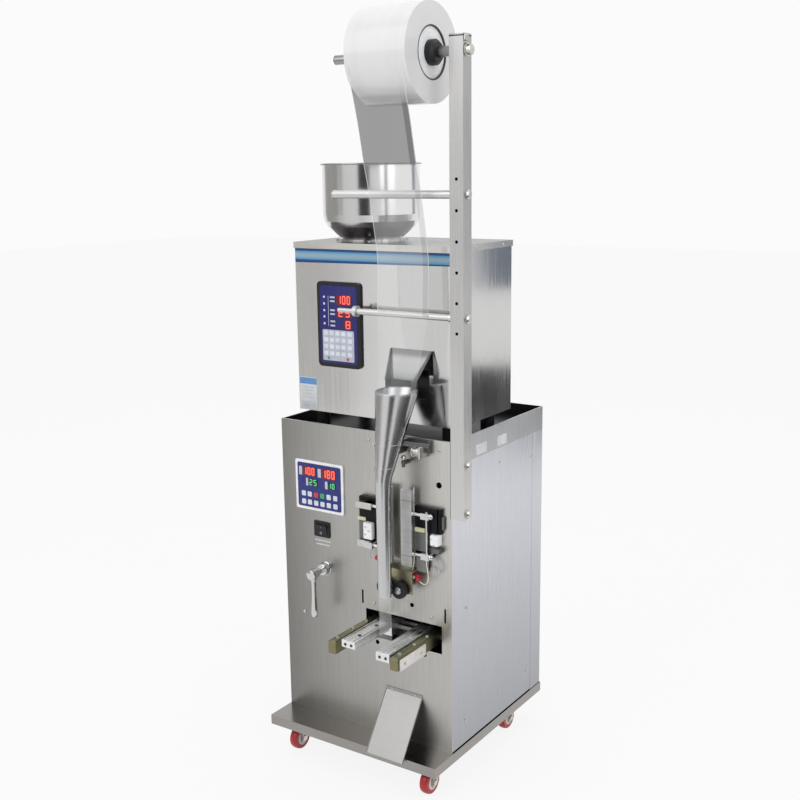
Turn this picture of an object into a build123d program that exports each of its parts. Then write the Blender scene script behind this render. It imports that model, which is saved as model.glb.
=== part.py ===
from build123d import *
import os
from math import asin, atan2, cos, degrees, hypot, pi, sin

# Vertical sachet packing machine on castors: a cabinet with sealing jaws, a weigher above it,
# and a mast at the right carrying the film roll. Front faces -Y, +X is to the right, +Z is up.
# Sizes are in millimetres. The model is drawn from the middle of the cabinet's width, the face
# of its front panel and the floor; it is moved at the end to the middle of its outline.

# A level is a height above the top edge of the front panel; below it, it is negative.

# Clearances
running_gap = 0.05
soft_gap = 0.3

# Cabinet
cabinet_width = 400.0
cabinet_depth = 368.0
panel_gauge = 2.0
panel_height = 621.0
band_height = 49.0
pan_depth = 26.0
rear_return = 44.0
seam_gap = 0.6
side_lift = 3.0
slot_width = 4.0
slot_level = -354.0
slot_length = 28.0
slot_outset = 7.5
hole_places = ((84.0, -85.0, 6.0), (21.0, -333.5, 4.5), (-62.0, -429.0, 4.5), (49.0, -429.0, 4.5))

# Base tray
tray_overhang = 1.5
tray_front = 65.0
tray_back = 3.0
tray_gauge = 2.0
tray_lip = 20.0

# Castors
castor_height = 80.0
castor_inset_x = 40.0
castor_inset_y = 64.0
castor_trail = 21.0
castor_plate_size = 46.0
castor_plate_gauge = 3.0
castor_race = 4.0
wheel_radius = 25.0
wheel_width = 18.0
wheel_round = 3.0
fork_gauge = 2.5
fork_side_gap = 1.5
fork_crown = 17.0
cheek_radius = 7.0
axle_radius = 4.0
axle_head = 2.0

# Weigher box standing on feet in the pan
weigher_inset = 15.0
weigher_depth = 213.0
weigher_height = 337.0
weigher_setback = 42.0
weigher_lift = 14.0
lid_height = 12.0
lid_gauge = 1.5
lid_overhang = 2.0
foot_radius = 14.0
foot_inset = 34.0

# Keypad on the weigher and control panel on the cabinet
keypad_width = 104.0
keypad_height = 168.0
keypad_inset = 56.0
keypad_level = 108.5
keypad_depth = 5.0
keypad_corner = 9.0
console_width = 119.0
console_height = 102.0
console_offset = 4.5
console_drop = 78.0
console_depth = 3.0
console_corner = 4.0

# Power switch: a bezel on the panel with a rocker in its pocket
switch_inset = 62.0
switch_drop = 37.5
switch_width = 37.0
switch_height = 30.0
switch_depth = 3.0
switch_frame = 4.0
rocker_gap = 0.8
rocker_proud = 2.5
rocker_dip = 1.0
rocker_thickness = 3.2
rocker_tilt = 7.0

# Hopper bowl
hopper_inset = 128.0
hopper_y = 148.0
hopper_radius = 96.5
hopper_rim = 4.0
hopper_wall = 1.5
hopper_straight = 98.0
hopper_cone = 25.0
hopper_neck = 61.0
hopper_cone_radius = 88.0
hopper_shoulder = (23.0, 10.0, 2.5)
hopper_base = 4.0

# Mast
mast_size = 28.0
mast_wall = 2.0
mast_foot_level = -146.0
mast_top_level = 711.0
mast_front = -1.0
mast_hole_radius = 3.0
mast_hole_level = 200.5
mast_hole_pitch = 54.0
mast_hole_count = 6
mast_bolt_levels = (-135.0, -43.0)
cap_gauge = 4.0
nut_radius = 8.5
nut_length = 6.0

# Shafts through the mast
roll_level = 685.0
roll_shaft_radius = 8.5
roll_shaft_end = -49.0
seat_step = 0.5
tension_level = 444.0
tension_radius = 7.5
tension_shaft_radius = 4.0
tension_end = -60.0
tension_tip = 3.0
roller_side_gap = 1.0
guide_level = 226.0
guide_radius = 6.0
guide_tip_radius = 4.5
guide_tip = -58.0
guide_collar_x = -16.5
guide_collar_radius = 9.0
guide_collar_length = 7.0

# Film roll on its core, plugs and knob
film_inset = 110.0
roll_offset = 4.5
roll_width = 127.0
roll_radius = 86.0
core_radius = 46.5
core_wall = 2.5
plug_length = 24.0
plug_inset = 3.0
knob_radius = 22.0
knob_length = 16.0
knob_bevel = 5.0

# Film off the roll
film_gauge = 0.8
film_width = 112.0
film_offset = 3.5
film_bends = ((-29.0, 501.0), (9.0, 342.0))
film_lead_width = 78.0
bag_gauge = 1.4
bag_width = 56.0
bag_rise = 4.0

# Former: funnel with an upright front line, running into a slender tube
tube_y = -60.0
tube_foot_level = -300.0
tube_top_level = -74.0
tube_bottom_radius = 12.5
tube_top_radius = 14.5
funnel_level = 87.0
funnel_top_radius = 40.0
funnel_offset = 47.0
former_wall = 1.2
bracket_left = 8.0
bracket_right = 70.0
bracket_arm = 14.0
bracket_gauge = 6.0
bracket_foot_level = -25.0
bracket_top_level = -1.0

# Trough that drops the product into the funnel
trough_top_width = 92.0
trough_bottom_width = 60.0
trough_top_level = 157.0
trough_foot_level = 104.0
trough_skirt = 15.0
trough_reach = 29.0
trough_side = 18.0
trough_gauge = 1.5
trough_flange = 3.5

# Upright sealing bars and their heater blocks
seal_gap = 22.0
seal_bar_width = 24.0
seal_bar_depth = 8.0
seal_bar_standoff = 4.0
seal_bar_foot_level = -248.0
seal_bar_top_level = -98.0
heater_inner = 36.0
heater_outer = 92.0
heater_depth = 8.0
heater_foot_level = -229.0
heater_middle_level = -177.0
heater_top_level = -129.0
foot_block = {"left": (64.0, 92.0), "right": (36.0, 60.0)}
link_radius = 3.0
link_levels = (-222.0, -143.0)
link_tip = 4.0
lug_inner = 56.0
lug_outer = 74.0
lug_half = 6.0

# Film pulling rollers and the bent plate that carries their shafts
pull_radius = 16.0
pull_gap = 1.0
pull_level = -292.0
pull_front = -41.0
pull_width = 10.0
pull_shaft_radius = 4.0
bearing_left = 30.0
bearing_right = 40.0
bearing_gap = 3.0
bearing_gauge = 2.5
bearing_drop = 8.0
bearing_rise = 22.0

# Jaws that close across the film
jaw_gap = 48.0
jaw_width = 30.0
jaw_spacer = {"left": 12.0, "right": 4.0}
jaw_rise = {"left": 8.0, "right": 3.0}
jaw_nose = {"left": 14.0, "right": 17.0}
jaw_bar_width = 17.0
jaw_level = -406.0
jaw_height = 24.0
jaw_reach = 127.0
jaw_bar_reach = 130.0
jaw_tail = 58.0
jaw_rod_radius = 6.0
jaw_rod_y = (20.0, 44.0)
jaw_pin_y = (-90.0, -34.0)
jaw_pin_radius = 4.0
jaw_end_gap = 6.0
jaw_block = 12.0
window_gap = 5.5
window_level = -419.0
window_height = 56.0

# Lever
lever_inset = 68.0
lever_drop = 81.5
lever_reach = 40.0
lever_length = 80.0
lever_radius = 3.6
lever_knuckle = 10.0
lever_knuckle_length = 14.0
lever_end_radius = 5.5
lever_hub_radius = 11.0
lever_hub_length = 14.0
lever_shaft_radius = 6.0

# Chute over the front edge of the tray
chute_width = 86.0
chute_top = 180.0
chute_end_y = -71.5
chute_end_z = 74.5
chute_gauge = 1.5
chute_flange = 7.0

# Places that follow from the sizes above
half = cabinet_width / 2
base_top = castor_height + tray_gauge
rim_z = base_top + panel_height
band_z = rim_z - band_height
pan_z = rim_z - pan_depth
slot_bottom = rim_z + slot_level
keypad_bottom = rim_z + keypad_level
mast_bottom = rim_z + mast_foot_level
mast_top = rim_z + mast_top_level
mast_hole_first = rim_z + mast_hole_level
roll_z = rim_z + roll_level
tension_z = rim_z + tension_level
guide_z = rim_z + guide_level
tube_bottom = rim_z + tube_foot_level
tube_top = rim_z + tube_top_level
funnel_top = rim_z + funnel_level
bracket_bottom = rim_z + bracket_foot_level
bracket_top = rim_z + bracket_top_level
trough_top = rim_z + trough_top_level
trough_bottom = rim_z + trough_foot_level
seal_bar_bottom = rim_z + seal_bar_foot_level
seal_bar_top = rim_z + seal_bar_top_level
heater_bottom = rim_z + heater_foot_level
heater_middle = rim_z + heater_middle_level
heater_top = rim_z + heater_top_level
pull_z = rim_z + pull_level
jaw_bottom = rim_z + jaw_level
window_bottom = rim_z + window_level
mast_bolt_heights = tuple(rim_z + level for level in mast_bolt_levels)
link_heights = tuple(rim_z + level for level in link_levels)
film_centre = half - film_inset
panel_holes = tuple((film_centre + dx, rim_z + level, r) for dx, level, r in hole_places)
weigher_left, weigher_right = weigher_inset - half, half - weigher_inset
weigher_z = rim_z + weigher_lift
weigher_top = weigher_z + weigher_height
weigher_back = weigher_setback + weigher_depth
keypad_left = weigher_left + keypad_inset
console_left = (film_centre - heater_outer - half - console_width) / 2 - console_offset
console_bottom = rim_z - console_drop - console_height
switch_x, switch_z = console_left + switch_inset, console_bottom - switch_drop
lever_x, lever_z = console_left + lever_inset, switch_z - lever_drop
hopper_x = hopper_inset - half
mast_x = half + mast_size / 2
mast_y = mast_front + mast_size / 2
mast_outer = half + mast_size
roll_left = film_centre + roll_offset - roll_width / 2
roll_right = roll_left + roll_width
roll_seat_radius = roll_shaft_radius + seat_step
seal_bar_back = -heater_depth - seal_bar_standoff
link_y = seal_bar_back - seal_bar_depth / 2
jaw_face, jaw_back = jaw_gap / 2, jaw_gap / 2 + jaw_width
jaw_outer = jaw_back + max(jaw_spacer.values()) + jaw_bar_width
jaw_top = jaw_bottom + jaw_height
jaw_crest = jaw_top + max(jaw_rise.values())
x_left = -half - tray_overhang
x_right = mast_outer + nut_length
y_front = -jaw_bar_reach
y_back = cabinet_depth + tray_back
home = Location((-(x_left + x_right) / 2, -(y_front + y_back) / 2, 0))


def block(x0, x1, y0, y1, z0, z1):
    """Box between two corners."""
    return Pos((x0 + x1) / 2, (y0 + y1) / 2, (z0 + z1) / 2) * Box(x1 - x0, y1 - y0, z1 - z0)


def rod_x(x0, x1, y, z, r):
    """Round bar along X."""
    return Pos((x0 + x1) / 2, y, z) * Rot(0, 90, 0) * Cylinder(r, x1 - x0)


def rod_y(x, y0, y1, z, r):
    """Round bar along Y."""
    return Pos(x, (y0 + y1) / 2, z) * Rot(90, 0, 0) * Cylinder(r, y1 - y0)


def rod_z(x, y, z0, z1, r):
    """Round bar along Z."""
    return Pos(x, y, (z0 + z1) / 2) * Cylinder(r, z1 - z0)


def across(x0, x1, *points):
    """Profile given as (y, z) points, carried along X."""
    side = Plane((x0, 0, 0), x_dir=(0, 1, 0), z_dir=(1, 0, 0))
    return extrude(make_face(side * Polyline(*points, close=True)), x1 - x0)


def rounded_plate(x0, z0, width, height, y0, depth, corner):
    """Plate standing on a panel at y0, with rounded corners."""
    face = Plane((x0 + width / 2, y0, z0 + height / 2), x_dir=(1, 0, 0), z_dir=(0, -1, 0))
    return extrude(face * RectangleRounded(width, height, corner), depth)


def section(x, y, z, shape):
    """Flat shape laid level at a height, as a station of a loft."""
    return Pos(x, y, z) * shape


def keep(name, *solids):
    """Write one node, with its solids side by side."""
    moved = [home * s for s in solids]
    export_step(moved[0] if len(moved) == 1 else Compound(children=moved), f"parts/{name}.step")


def mirrored_span(way, near, far):
    """Low and high x of a stretch that lies near..far from the film's centre line."""
    return sorted((film_centre + way * near, film_centre + way * far))


def castor_places():
    """Name and swivel axis of each castor."""
    xs = (("left", x_left + castor_inset_x), ("right", -x_left - castor_inset_x))
    ys = (("front", -tray_front + castor_inset_y), ("rear", y_back - castor_inset_y))
    return [(f"{row}_{side}", x, y) for row, y in ys for side, x in xs]


def make_base():
    """Folded tray with a lip turned down all round, and the castor plates under it."""
    tray = block(x_left, -x_left, -tray_front, y_back, base_top - tray_lip, base_top)
    tray = tray - block(x_left + tray_gauge, -x_left - tray_gauge, -tray_front + tray_gauge,
                        y_back - tray_gauge, 0, castor_height)
    reach = castor_plate_size / 2
    for name, x, y in castor_places():
        tray = tray + block(x - reach, x + reach, y - reach, y + reach,
                            castor_height - castor_plate_gauge, castor_height)
    keep("base_tray", tray)


def make_castors():
    """Swivel castors trailing to the front: race, fork, and wheel on an axle along X."""
    fork_half = wheel_width / 2 + fork_side_gap + fork_gauge
    crown_top = castor_height - castor_plate_gauge - castor_race
    crown_bottom = crown_top - fork_gauge
    for name, x, y in castor_places():
        axle_y = y - castor_trail
        fork = across(x - fork_half, x + fork_half,
                      (y + fork_crown, crown_bottom), (y + fork_crown, crown_top),
                      (y - fork_crown, crown_top),
                      (axle_y - cheek_radius, wheel_radius + cheek_radius),
                      (axle_y - cheek_radius, wheel_radius - cheek_radius),
                      (axle_y + cheek_radius, wheel_radius - cheek_radius))
        fork = fork - block(x - fork_half + fork_gauge, x + fork_half - fork_gauge,
                            axle_y - 2 * wheel_radius, y + 2 * fork_crown, 0, crown_bottom)
        fork = fork + rod_z(x, y, crown_top, crown_top + castor_race - soft_gap, fork_crown)
        fork = fork + rod_x(x - fork_half - axle_head, x + fork_half + axle_head, axle_y,
                            wheel_radius, axle_radius)
        keep(f"castor_fork_{name}", fork)
        wheel = rod_x(x - wheel_width / 2, x + wheel_width / 2, axle_y, wheel_radius, wheel_radius)
        wheel = chamfer(wheel.edges().filter_by(GeomType.CIRCLE), wheel_round)
        wheel = wheel - rod_x(x - wheel_width, x + wheel_width, axle_y, wheel_radius,
                              axle_radius + running_gap)
        keep(f"castor_wheel_{name}", wheel)


def make_front_panel():
    """Front panel, with the window that the jaws reach through, two slots and four holes."""
    through = panel_gauge + 1
    panel = block(-half, half, 0, panel_gauge, base_top, rim_z)
    panel = panel - block(film_centre - jaw_outer - window_gap, film_centre + jaw_outer + window_gap,
                          -1, through, window_bottom, window_bottom + window_height)
    for way in (-1, 1):
        x = film_centre + way * (jaw_outer + window_gap + slot_outset)
        panel = panel - block(x - slot_width / 2, x + slot_width / 2, -1, through,
                              slot_bottom, slot_bottom + slot_length)
    for x, z, r in panel_holes:
        panel = panel - rod_y(x, -1, through, z, r)
    keep("front_panel", panel)


def make_cabinet():
    """Sheet-metal sides, back with returns, and the pan on top."""
    seam_y = cabinet_depth - rear_return
    edge = half - panel_gauge
    keep("side_panels", *[block(a, b, panel_gauge, seam_y - seam_gap, base_top + side_lift, band_z)
                          for a, b in ((-half, -edge), (edge, half))])
    back = block(-half, half, cabinet_depth - panel_gauge, cabinet_depth, base_top, band_z)
    back = back + block(-half, -edge, seam_y, cabinet_depth, base_top, band_z)
    back = back + block(edge, half, seam_y, cabinet_depth, base_top, band_z)
    keep("back_panel", back)
    inner_front, inner_back = 2 * panel_gauge, cabinet_depth - panel_gauge
    pan = block(-half, half, panel_gauge, cabinet_depth, band_z, rim_z)
    pan = pan - block(-edge, edge, inner_front, inner_back, pan_z, rim_z + 1)
    pan = pan - block(-edge, edge, inner_front, inner_back, band_z - 1, pan_z - panel_gauge)
    keep("top_pan", pan)


def make_weigher():
    """Weigher box with a lid folded over its top, on four feet in the pan, and its keypad."""
    x0, x1 = weigher_left, weigher_right
    y0, y1 = weigher_setback, weigher_back
    under_lid = weigher_top - lid_gauge
    body = block(x0, x1, y0, y1, weigher_z, under_lid)
    body = body - block(x0 + panel_gauge, x1 - panel_gauge, y0 + panel_gauge, y1 - panel_gauge,
                        weigher_z + panel_gauge, under_lid + 1)
    keep("weigher_box", body)
    keep("weigher_feet", *[rod_z(x, y, pan_z, weigher_z, foot_radius)
                           for x in (x0 + foot_inset, x1 - foot_inset)
                           for y in (y0 + foot_inset, y1 - foot_inset)])
    lid = block(x0 - lid_overhang, x1 + lid_overhang, y0 - lid_overhang, y1 + lid_overhang,
                weigher_top - lid_height, weigher_top)
    keep("weigher_lid", lid - block(x0, x1, y0, y1, weigher_top - lid_height - 1, under_lid))
    keep("weigher_keypad", rounded_plate(keypad_left, keypad_bottom, keypad_width, keypad_height,
                                         y0, keypad_depth, keypad_corner))
    keep("control_panel", rounded_plate(console_left, console_bottom, console_width, console_height,
                                        0, console_depth, console_corner))


def make_switch():
    """Power switch: bezel with a pocket, and a dished rocker that tips about its middle."""
    wide, tall = switch_width / 2, switch_height / 2
    bezel = block(switch_x - wide, switch_x + wide, -switch_depth, 0, switch_z - tall, switch_z + tall)
    wide, tall = wide - switch_frame, tall - switch_frame
    keep("power_switch", bezel - block(switch_x - wide, switch_x + wide, -switch_depth - 1, 0,
                                       switch_z - tall, switch_z + tall))
    wide, tall = wide - rocker_gap, tall - rocker_gap
    front = -switch_depth - rocker_proud
    rocker = across(switch_x - wide, switch_x + wide,
                    (front + rocker_thickness, switch_z - tall), (front + rocker_thickness, switch_z + tall),
                    (front, switch_z + tall), (front + rocker_dip, switch_z), (front, switch_z - tall))
    pivot = Pos(switch_x, -switch_depth, switch_z)
    keep("power_rocker", pivot * Rot(rocker_tilt, 0, 0) * pivot.inverse() * rocker)


def hopper_bowl(wall):
    """Bowl drawn in by a wall thickness: floor, cone, shoulder in two steps, straight side."""
    z0 = weigher_top + hopper_base
    z1 = z0 + hopper_cone
    lower, upper, draft = hopper_shoulder
    outer = hopper_radius - wall
    side = Plane((hopper_x, hopper_y, 0), x_dir=(1, 0, 0), z_dir=(0, -1, 0))
    line = Polyline((0, z0 + wall), (hopper_neck - wall, z0 + wall), (hopper_cone_radius - wall, z1),
                    (outer - draft, z1 + upper), (outer, z1 + lower), (outer, z1 + lower + hopper_straight),
                    (0, z1 + lower + hopper_straight), close=True)
    return revolve(make_face(side * line), Axis((hopper_x, hopper_y, 0), (0, 0, 1)))


def make_hopper():
    """Spun bowl with a rolled rim, on a base ring that stands on the weigher lid."""
    z2 = weigher_top + hopper_base + hopper_cone + hopper_shoulder[0] + hopper_straight
    rim = rod_z(hopper_x, hopper_y, z2 - hopper_wall, z2, hopper_radius + hopper_rim)
    rim = rim - rod_z(hopper_x, hopper_y, z2 - hopper_rim, z2 + hopper_rim, hopper_radius - hopper_wall)
    base = rod_z(hopper_x, hopper_y, weigher_top, weigher_top + hopper_base, hopper_neck + hopper_rim)
    bore = rod_z(hopper_x, hopper_y, z2 - hopper_straight, z2 + 1, hopper_radius - hopper_wall)
    keep("hopper", hopper_bowl(0) - hopper_bowl(hopper_wall) - bore + rim + base)


def make_mast():
    """Square tube bolted to the right side of the cabinet, with its cap and domed nuts."""
    mast = block(half, mast_outer, mast_front, mast_front + mast_size, mast_bottom, mast_top - cap_gauge)
    mast = mast - block(half + mast_wall, mast_outer - mast_wall, mast_front + mast_wall,
                        mast_front + mast_size - mast_wall, mast_bottom - 1, mast_top)
    for k in range(mast_hole_count):
        mast = mast - rod_y(mast_x, mast_front - 1, mast_front + mast_wall + 1,
                            mast_hole_first + k * mast_hole_pitch, mast_hole_radius)
    shafts = ((roll_z, roll_seat_radius), (tension_z, tension_shaft_radius), (guide_z, guide_radius))
    for z, r in shafts:
        mast = mast - rod_x(half - 1, mast_outer + 1, mast_y, z, r)
    keep("mast", mast)
    keep("mast_cap", block(half, mast_outer, mast_front, mast_front + mast_size,
                           mast_top - cap_gauge, mast_top))
    nuts = [rod_x(mast_outer, mast_outer + nut_length, mast_y, z, nut_radius)
            for z in (roll_z, tension_z, guide_z, *mast_bolt_heights)]
    nuts = [chamfer(n.faces().sort_by(Axis.X)[-1].edges(), nut_length / 2) for n in nuts]
    keep("mast_nuts", *nuts)


def make_shafts():
    """Roll shaft, film tension roller on its shaft, and the guide rod with a collar."""
    seat = roll_left + plug_inset
    shaft = rod_x(roll_shaft_end, seat, mast_y, roll_z, roll_shaft_radius)
    keep("mast_shafts", shaft + rod_x(seat, mast_outer, mast_y, roll_z, roll_seat_radius),
         rod_x(tension_end - tension_tip, mast_outer, mast_y, tension_z, tension_shaft_radius))
    roller = rod_x(tension_end, half - roller_side_gap, mast_y, tension_z, tension_radius)
    keep("tension_roller", roller - rod_x(tension_end - 1, half, mast_y, tension_z,
                                          tension_shaft_radius + running_gap))
    guide = rod_x(guide_collar_x, mast_outer, mast_y, guide_z, guide_radius)
    guide = guide + rod_x(guide_tip, guide_collar_x, mast_y, guide_z, guide_tip_radius)
    guide = guide + rod_x(guide_collar_x - guide_collar_length / 2, guide_collar_x + guide_collar_length / 2,
                          mast_y, guide_z, guide_collar_radius)
    keep("guide_rod", guide)


def make_roll():
    """Film reel on its core, held by two plugs, with a locking knob at the right."""
    bore = core_radius - core_wall
    wound = rod_x(roll_left, roll_right, mast_y, roll_z, roll_radius)
    keep("film_roll", wound - rod_x(roll_left - 1, roll_right + 1, mast_y, roll_z, core_radius))
    core = rod_x(roll_left, roll_right, mast_y, roll_z, core_radius)
    keep("roll_core", core - rod_x(roll_left - 1, roll_right + 1, mast_y, roll_z, bore))
    shaft = rod_x(roll_left, roll_right + knob_length, mast_y, roll_z, roll_seat_radius + running_gap)
    left = rod_x(roll_left + plug_inset, roll_left + plug_inset + plug_length, mast_y, roll_z, bore)
    right = rod_x(roll_right - plug_inset - plug_length, roll_right - plug_inset, mast_y, roll_z, bore)
    keep("roll_plugs", left - shaft, right - shaft)
    knob = rod_x(roll_right - plug_inset, roll_right - plug_inset + knob_length, mast_y, roll_z, knob_radius)
    knob = chamfer(knob.faces().sort_by(Axis.X)[-1].edges(), knob_bevel)
    keep("roll_knob", knob - shaft)


def tapered(z0, z1, r0, r1):
    """Upright cone of the forming tube between two heights."""
    return Pos(film_centre, tube_y, (z0 + z1) / 2) * Cone(r0, r1, z1 - z0)


def former_skin(wall):
    """Tube, and funnel leaning back from it, drawn in by a wall thickness."""
    rise = funnel_top - tube_top
    run = hypot(funnel_offset, rise)
    lean = degrees(atan2(funnel_offset, rise))
    spare = funnel_top_radius / 2
    growth = (funnel_top_radius - tube_top_radius) / run
    cone = Cone(tube_top_radius - wall - growth * spare, funnel_top_radius - wall + growth * spare,
                run + 2 * spare)
    cone = Pos(film_centre, tube_y + funnel_offset / 2, tube_top + rise / 2) * Rot(-lean, 0, 0) * cone
    level = block(film_centre - 2 * funnel_top_radius, film_centre + 2 * funnel_top_radius,
                  tube_y - 2 * funnel_top_radius, tube_y + 3 * funnel_top_radius, tube_top, funnel_top)
    return tapered(tube_bottom, tube_top, tube_bottom_radius - wall, tube_top_radius - wall) + (cone & level)


def make_former():
    """Funnel with a nearly upright front line, leading into the tube, and the bracket that holds it."""
    keep("former", former_skin(0) - former_skin(former_wall))
    left = film_centre + bracket_left
    bar = block(left, film_centre + bracket_right, -bracket_gauge, 0, bracket_bottom, bracket_top)
    arm = block(left, left + bracket_arm, tube_y, -bracket_gauge, bracket_bottom, bracket_top)
    arm = (arm - former_skin(-running_gap)).solids().sort_by(Axis.Y)[-1]
    keep("former_bracket", bar + arm)


def trough_block(wall, spread):
    """Tapered block from the weigher's face down and forward, drawn in by a wall thickness."""
    y_top, y_low = weigher_setback - wall, weigher_setback - trough_reach - wall
    low = Rectangle(trough_bottom_width - 2 * wall, trough_side + spread)
    high = Rectangle(trough_top_width - 2 * wall, trough_flange + spread)
    return loft([section(film_centre, y_low - (trough_side + spread) / 2, trough_bottom, low),
                 section(film_centre, y_top - (trough_flange + spread) / 2, trough_top, high)], ruled=True)


def make_trough():
    """Open chute with two side flanges that reach down to the funnel, under the weigher's outlet."""
    trough = trough_block(0, 0) - trough_block(trough_gauge, trough_side)
    y1 = weigher_setback - trough_reach
    for way in (-1, 1):
        a, b = mirrored_span(way, trough_bottom_width / 2 - trough_gauge, trough_bottom_width / 2)
        trough = trough + block(a, b, y1 - trough_side, y1, trough_bottom - trough_skirt, trough_bottom)
    keep("product_trough", trough)


def bag_ring(z, width, depth):
    """Eight-sided station of the film tube."""
    ring = [(width / 2 * cos(k * pi / 4), depth / 2 * sin(k * pi / 4)) for k in range(8)]
    return section(film_centre, tube_y, z, make_face(Polyline(*ring, close=True)))


def make_film():
    """Film from the reel to the guide rod, on to the former, and as a tube between the jaws."""
    x = film_centre + film_offset
    gap = soft_gap + film_gauge / 2
    (y_bend, z_bend), (y_low, z_low) = ((y, rim_z + level) for y, level in film_bends)
    run = hypot(mast_y - y_bend, roll_z - z_bend)
    rise = (run ** 2 - (roll_radius + gap) ** 2) ** 0.5
    lean = atan2(mast_y - y_bend, roll_z - z_bend) - asin((roll_radius + gap) / run)
    y_rod = mast_y - guide_radius - gap
    strip = Rectangle(film_width, film_gauge)
    bends = ((y_rod, guide_z), (y_low, z_low), (y_bend, z_bend),
             (y_bend + rise * sin(lean), z_bend + rise * cos(lean)))
    web = loft([section(x, y, z, strip) for y, z in bends], ruled=True)
    front = tube_y + funnel_offset - funnel_top_radius - 3 * film_gauge
    lead = loft([section(film_centre, front, funnel_top, Rectangle(film_lead_width, film_gauge)),
                 section(x, y_rod, guide_z - soft_gap, strip)], ruled=True)
    keep("film_web", web, lead)
    pressed = loft([bag_ring(jaw_bottom, bag_gauge, bag_width),
                    bag_ring(jaw_crest + bag_rise, bag_gauge, bag_width)], ruled=True)
    bore = 2 * tube_bottom_radius
    opened = loft([bag_ring(jaw_crest + bag_rise, bag_gauge, bag_width),
                   bag_ring(tube_bottom - soft_gap, bore, bore)], ruled=True)
    keep("film_bag", pressed + opened)


def make_sealing():
    """Upright sealing bars beside the tube, on link rods that slide in lugs of the heater blocks."""
    heaters = []
    for name, way in (("left", -1), ("right", 1)):
        a, b = mirrored_span(way, seal_gap / 2, seal_gap / 2 + seal_bar_width)
        bar = block(a, b, seal_bar_back - seal_bar_depth, seal_bar_back, seal_bar_bottom, seal_bar_top)
        a, b = mirrored_span(way, heater_inner, heater_outer)
        heater = block(a, b, -heater_depth, 0, heater_middle, heater_top)
        a, b = mirrored_span(way, *foot_block[name])
        heater = heater + block(a, b, -heater_depth, 0, heater_bottom, heater_middle)
        a, b = mirrored_span(way, lug_inner, lug_outer)
        u, v = mirrored_span(way, seal_gap / 2 + seal_bar_width, lug_outer + link_tip)
        for z in link_heights:
            bar = bar + rod_x(u, v, link_y, z, link_radius)
            heater = heater + block(a, b, link_y - lug_half, 0, z - lug_half, z + lug_half)
            heater = heater - rod_x(a - 1, b + 1, link_y, z, link_radius + running_gap)
        keep(f"seal_bar_{name}", bar)
        heaters.append(heater)
    keep("heaters", *heaters)


def make_pull_rollers():
    """Pair of film pulling rollers, and the bent plate whose front strip carries their shafts."""
    reach = pull_radius + pull_gap / 2
    strip_y = pull_front + pull_width + bearing_gap
    top = pull_z + pull_radius + bearing_rise
    x0, x1 = film_centre - bearing_left, film_centre + bearing_right
    plate = block(x0, x1, strip_y, strip_y + bearing_gauge, pull_z - bearing_drop, top)
    plate = plate + block(x0, x1, strip_y, 0, top - bearing_gauge, top)
    for name, way in (("left", -1), ("right", 1)):
        x = film_centre + way * reach
        plate = plate - rod_y(x, strip_y - 1, strip_y + bearing_gauge + 1, pull_z,
                              pull_shaft_radius + running_gap)
        roller = rod_y(x, pull_front, pull_front + pull_width, pull_z, pull_radius)
        keep(f"pull_roller_{name}", roller + rod_y(x, pull_front + pull_width, -soft_gap, pull_z,
                                                   pull_shaft_radius))
    keep("roller_bracket", plate)


def make_jaws():
    """Jaw pair: inner jaw with a raised nose and outer bar on each side, sliding on two rods inside."""
    mid = jaw_bottom + jaw_height / 2
    for name, way in (("left", -1), ("right", 1)):
        a, b = mirrored_span(way, jaw_face, jaw_back)
        crest = jaw_top + jaw_rise[name]
        under = crest - jaw_nose[name]
        jaw = across(a, b, (jaw_tail, jaw_bottom), (jaw_tail, crest), (-jaw_reach, crest),
                     (-jaw_reach, under), (-window_gap, under), (-window_gap, jaw_bottom))
        near = jaw_back + jaw_spacer[name]
        a, b = mirrored_span(way, near, near + jaw_bar_width)
        bar = block(a, b, -jaw_bar_reach, jaw_tail, jaw_bottom, jaw_top)
        a, b = mirrored_span(way, jaw_back, near)
        for y in jaw_pin_y:
            bar = bar + rod_x(a, b, y, (jaw_top + under) / 2, jaw_pin_radius)
        for y in jaw_rod_y:
            hole = rod_x(film_centre - 2 * jaw_outer, film_centre + 2 * jaw_outer, y, mid,
                         jaw_rod_radius + running_gap)
            jaw = jaw - hole
            bar = bar - hole
        keep(f"jaw_{name}", jaw)
        keep(f"jaw_bar_{name}", bar)
    x0 = film_centre - jaw_outer - jaw_end_gap - jaw_block
    x1 = half - panel_gauge
    guides = block(x0, x0 + jaw_block, panel_gauge, jaw_tail, jaw_bottom, jaw_top)
    guides = guides + block(film_centre + jaw_outer + jaw_end_gap, x1, panel_gauge, jaw_tail,
                            jaw_bottom, jaw_top)
    for y in jaw_rod_y:
        guides = guides + rod_x(x0 + jaw_block / 2, x1, y, mid, jaw_rod_radius)
    keep("jaw_guides", guides)


def make_lever():
    """Clamping lever hanging on a stub shaft, and its hub on the panel."""
    hub = rod_y(lever_x, -lever_hub_length, 0, lever_z, lever_hub_radius)
    keep("lever_hub", hub - rod_y(lever_x, -lever_hub_length - 1, 1, lever_z,
                                  lever_shaft_radius + running_gap))
    lever = rod_y(lever_x, -lever_reach, -soft_gap, lever_z, lever_shaft_radius)
    lever = lever + rod_y(lever_x, -lever_reach - lever_knuckle_length / 2,
                          -lever_reach + lever_knuckle_length / 2, lever_z, lever_knuckle)
    handle = Cone(lever_end_radius, lever_radius, lever_length)
    handle = chamfer(handle.faces().sort_by(Axis.Z)[0].edges(), lever_end_radius / 3)
    keep("lever", lever + Pos(lever_x, -lever_reach, lever_z - lever_length / 2) * handle)


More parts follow.
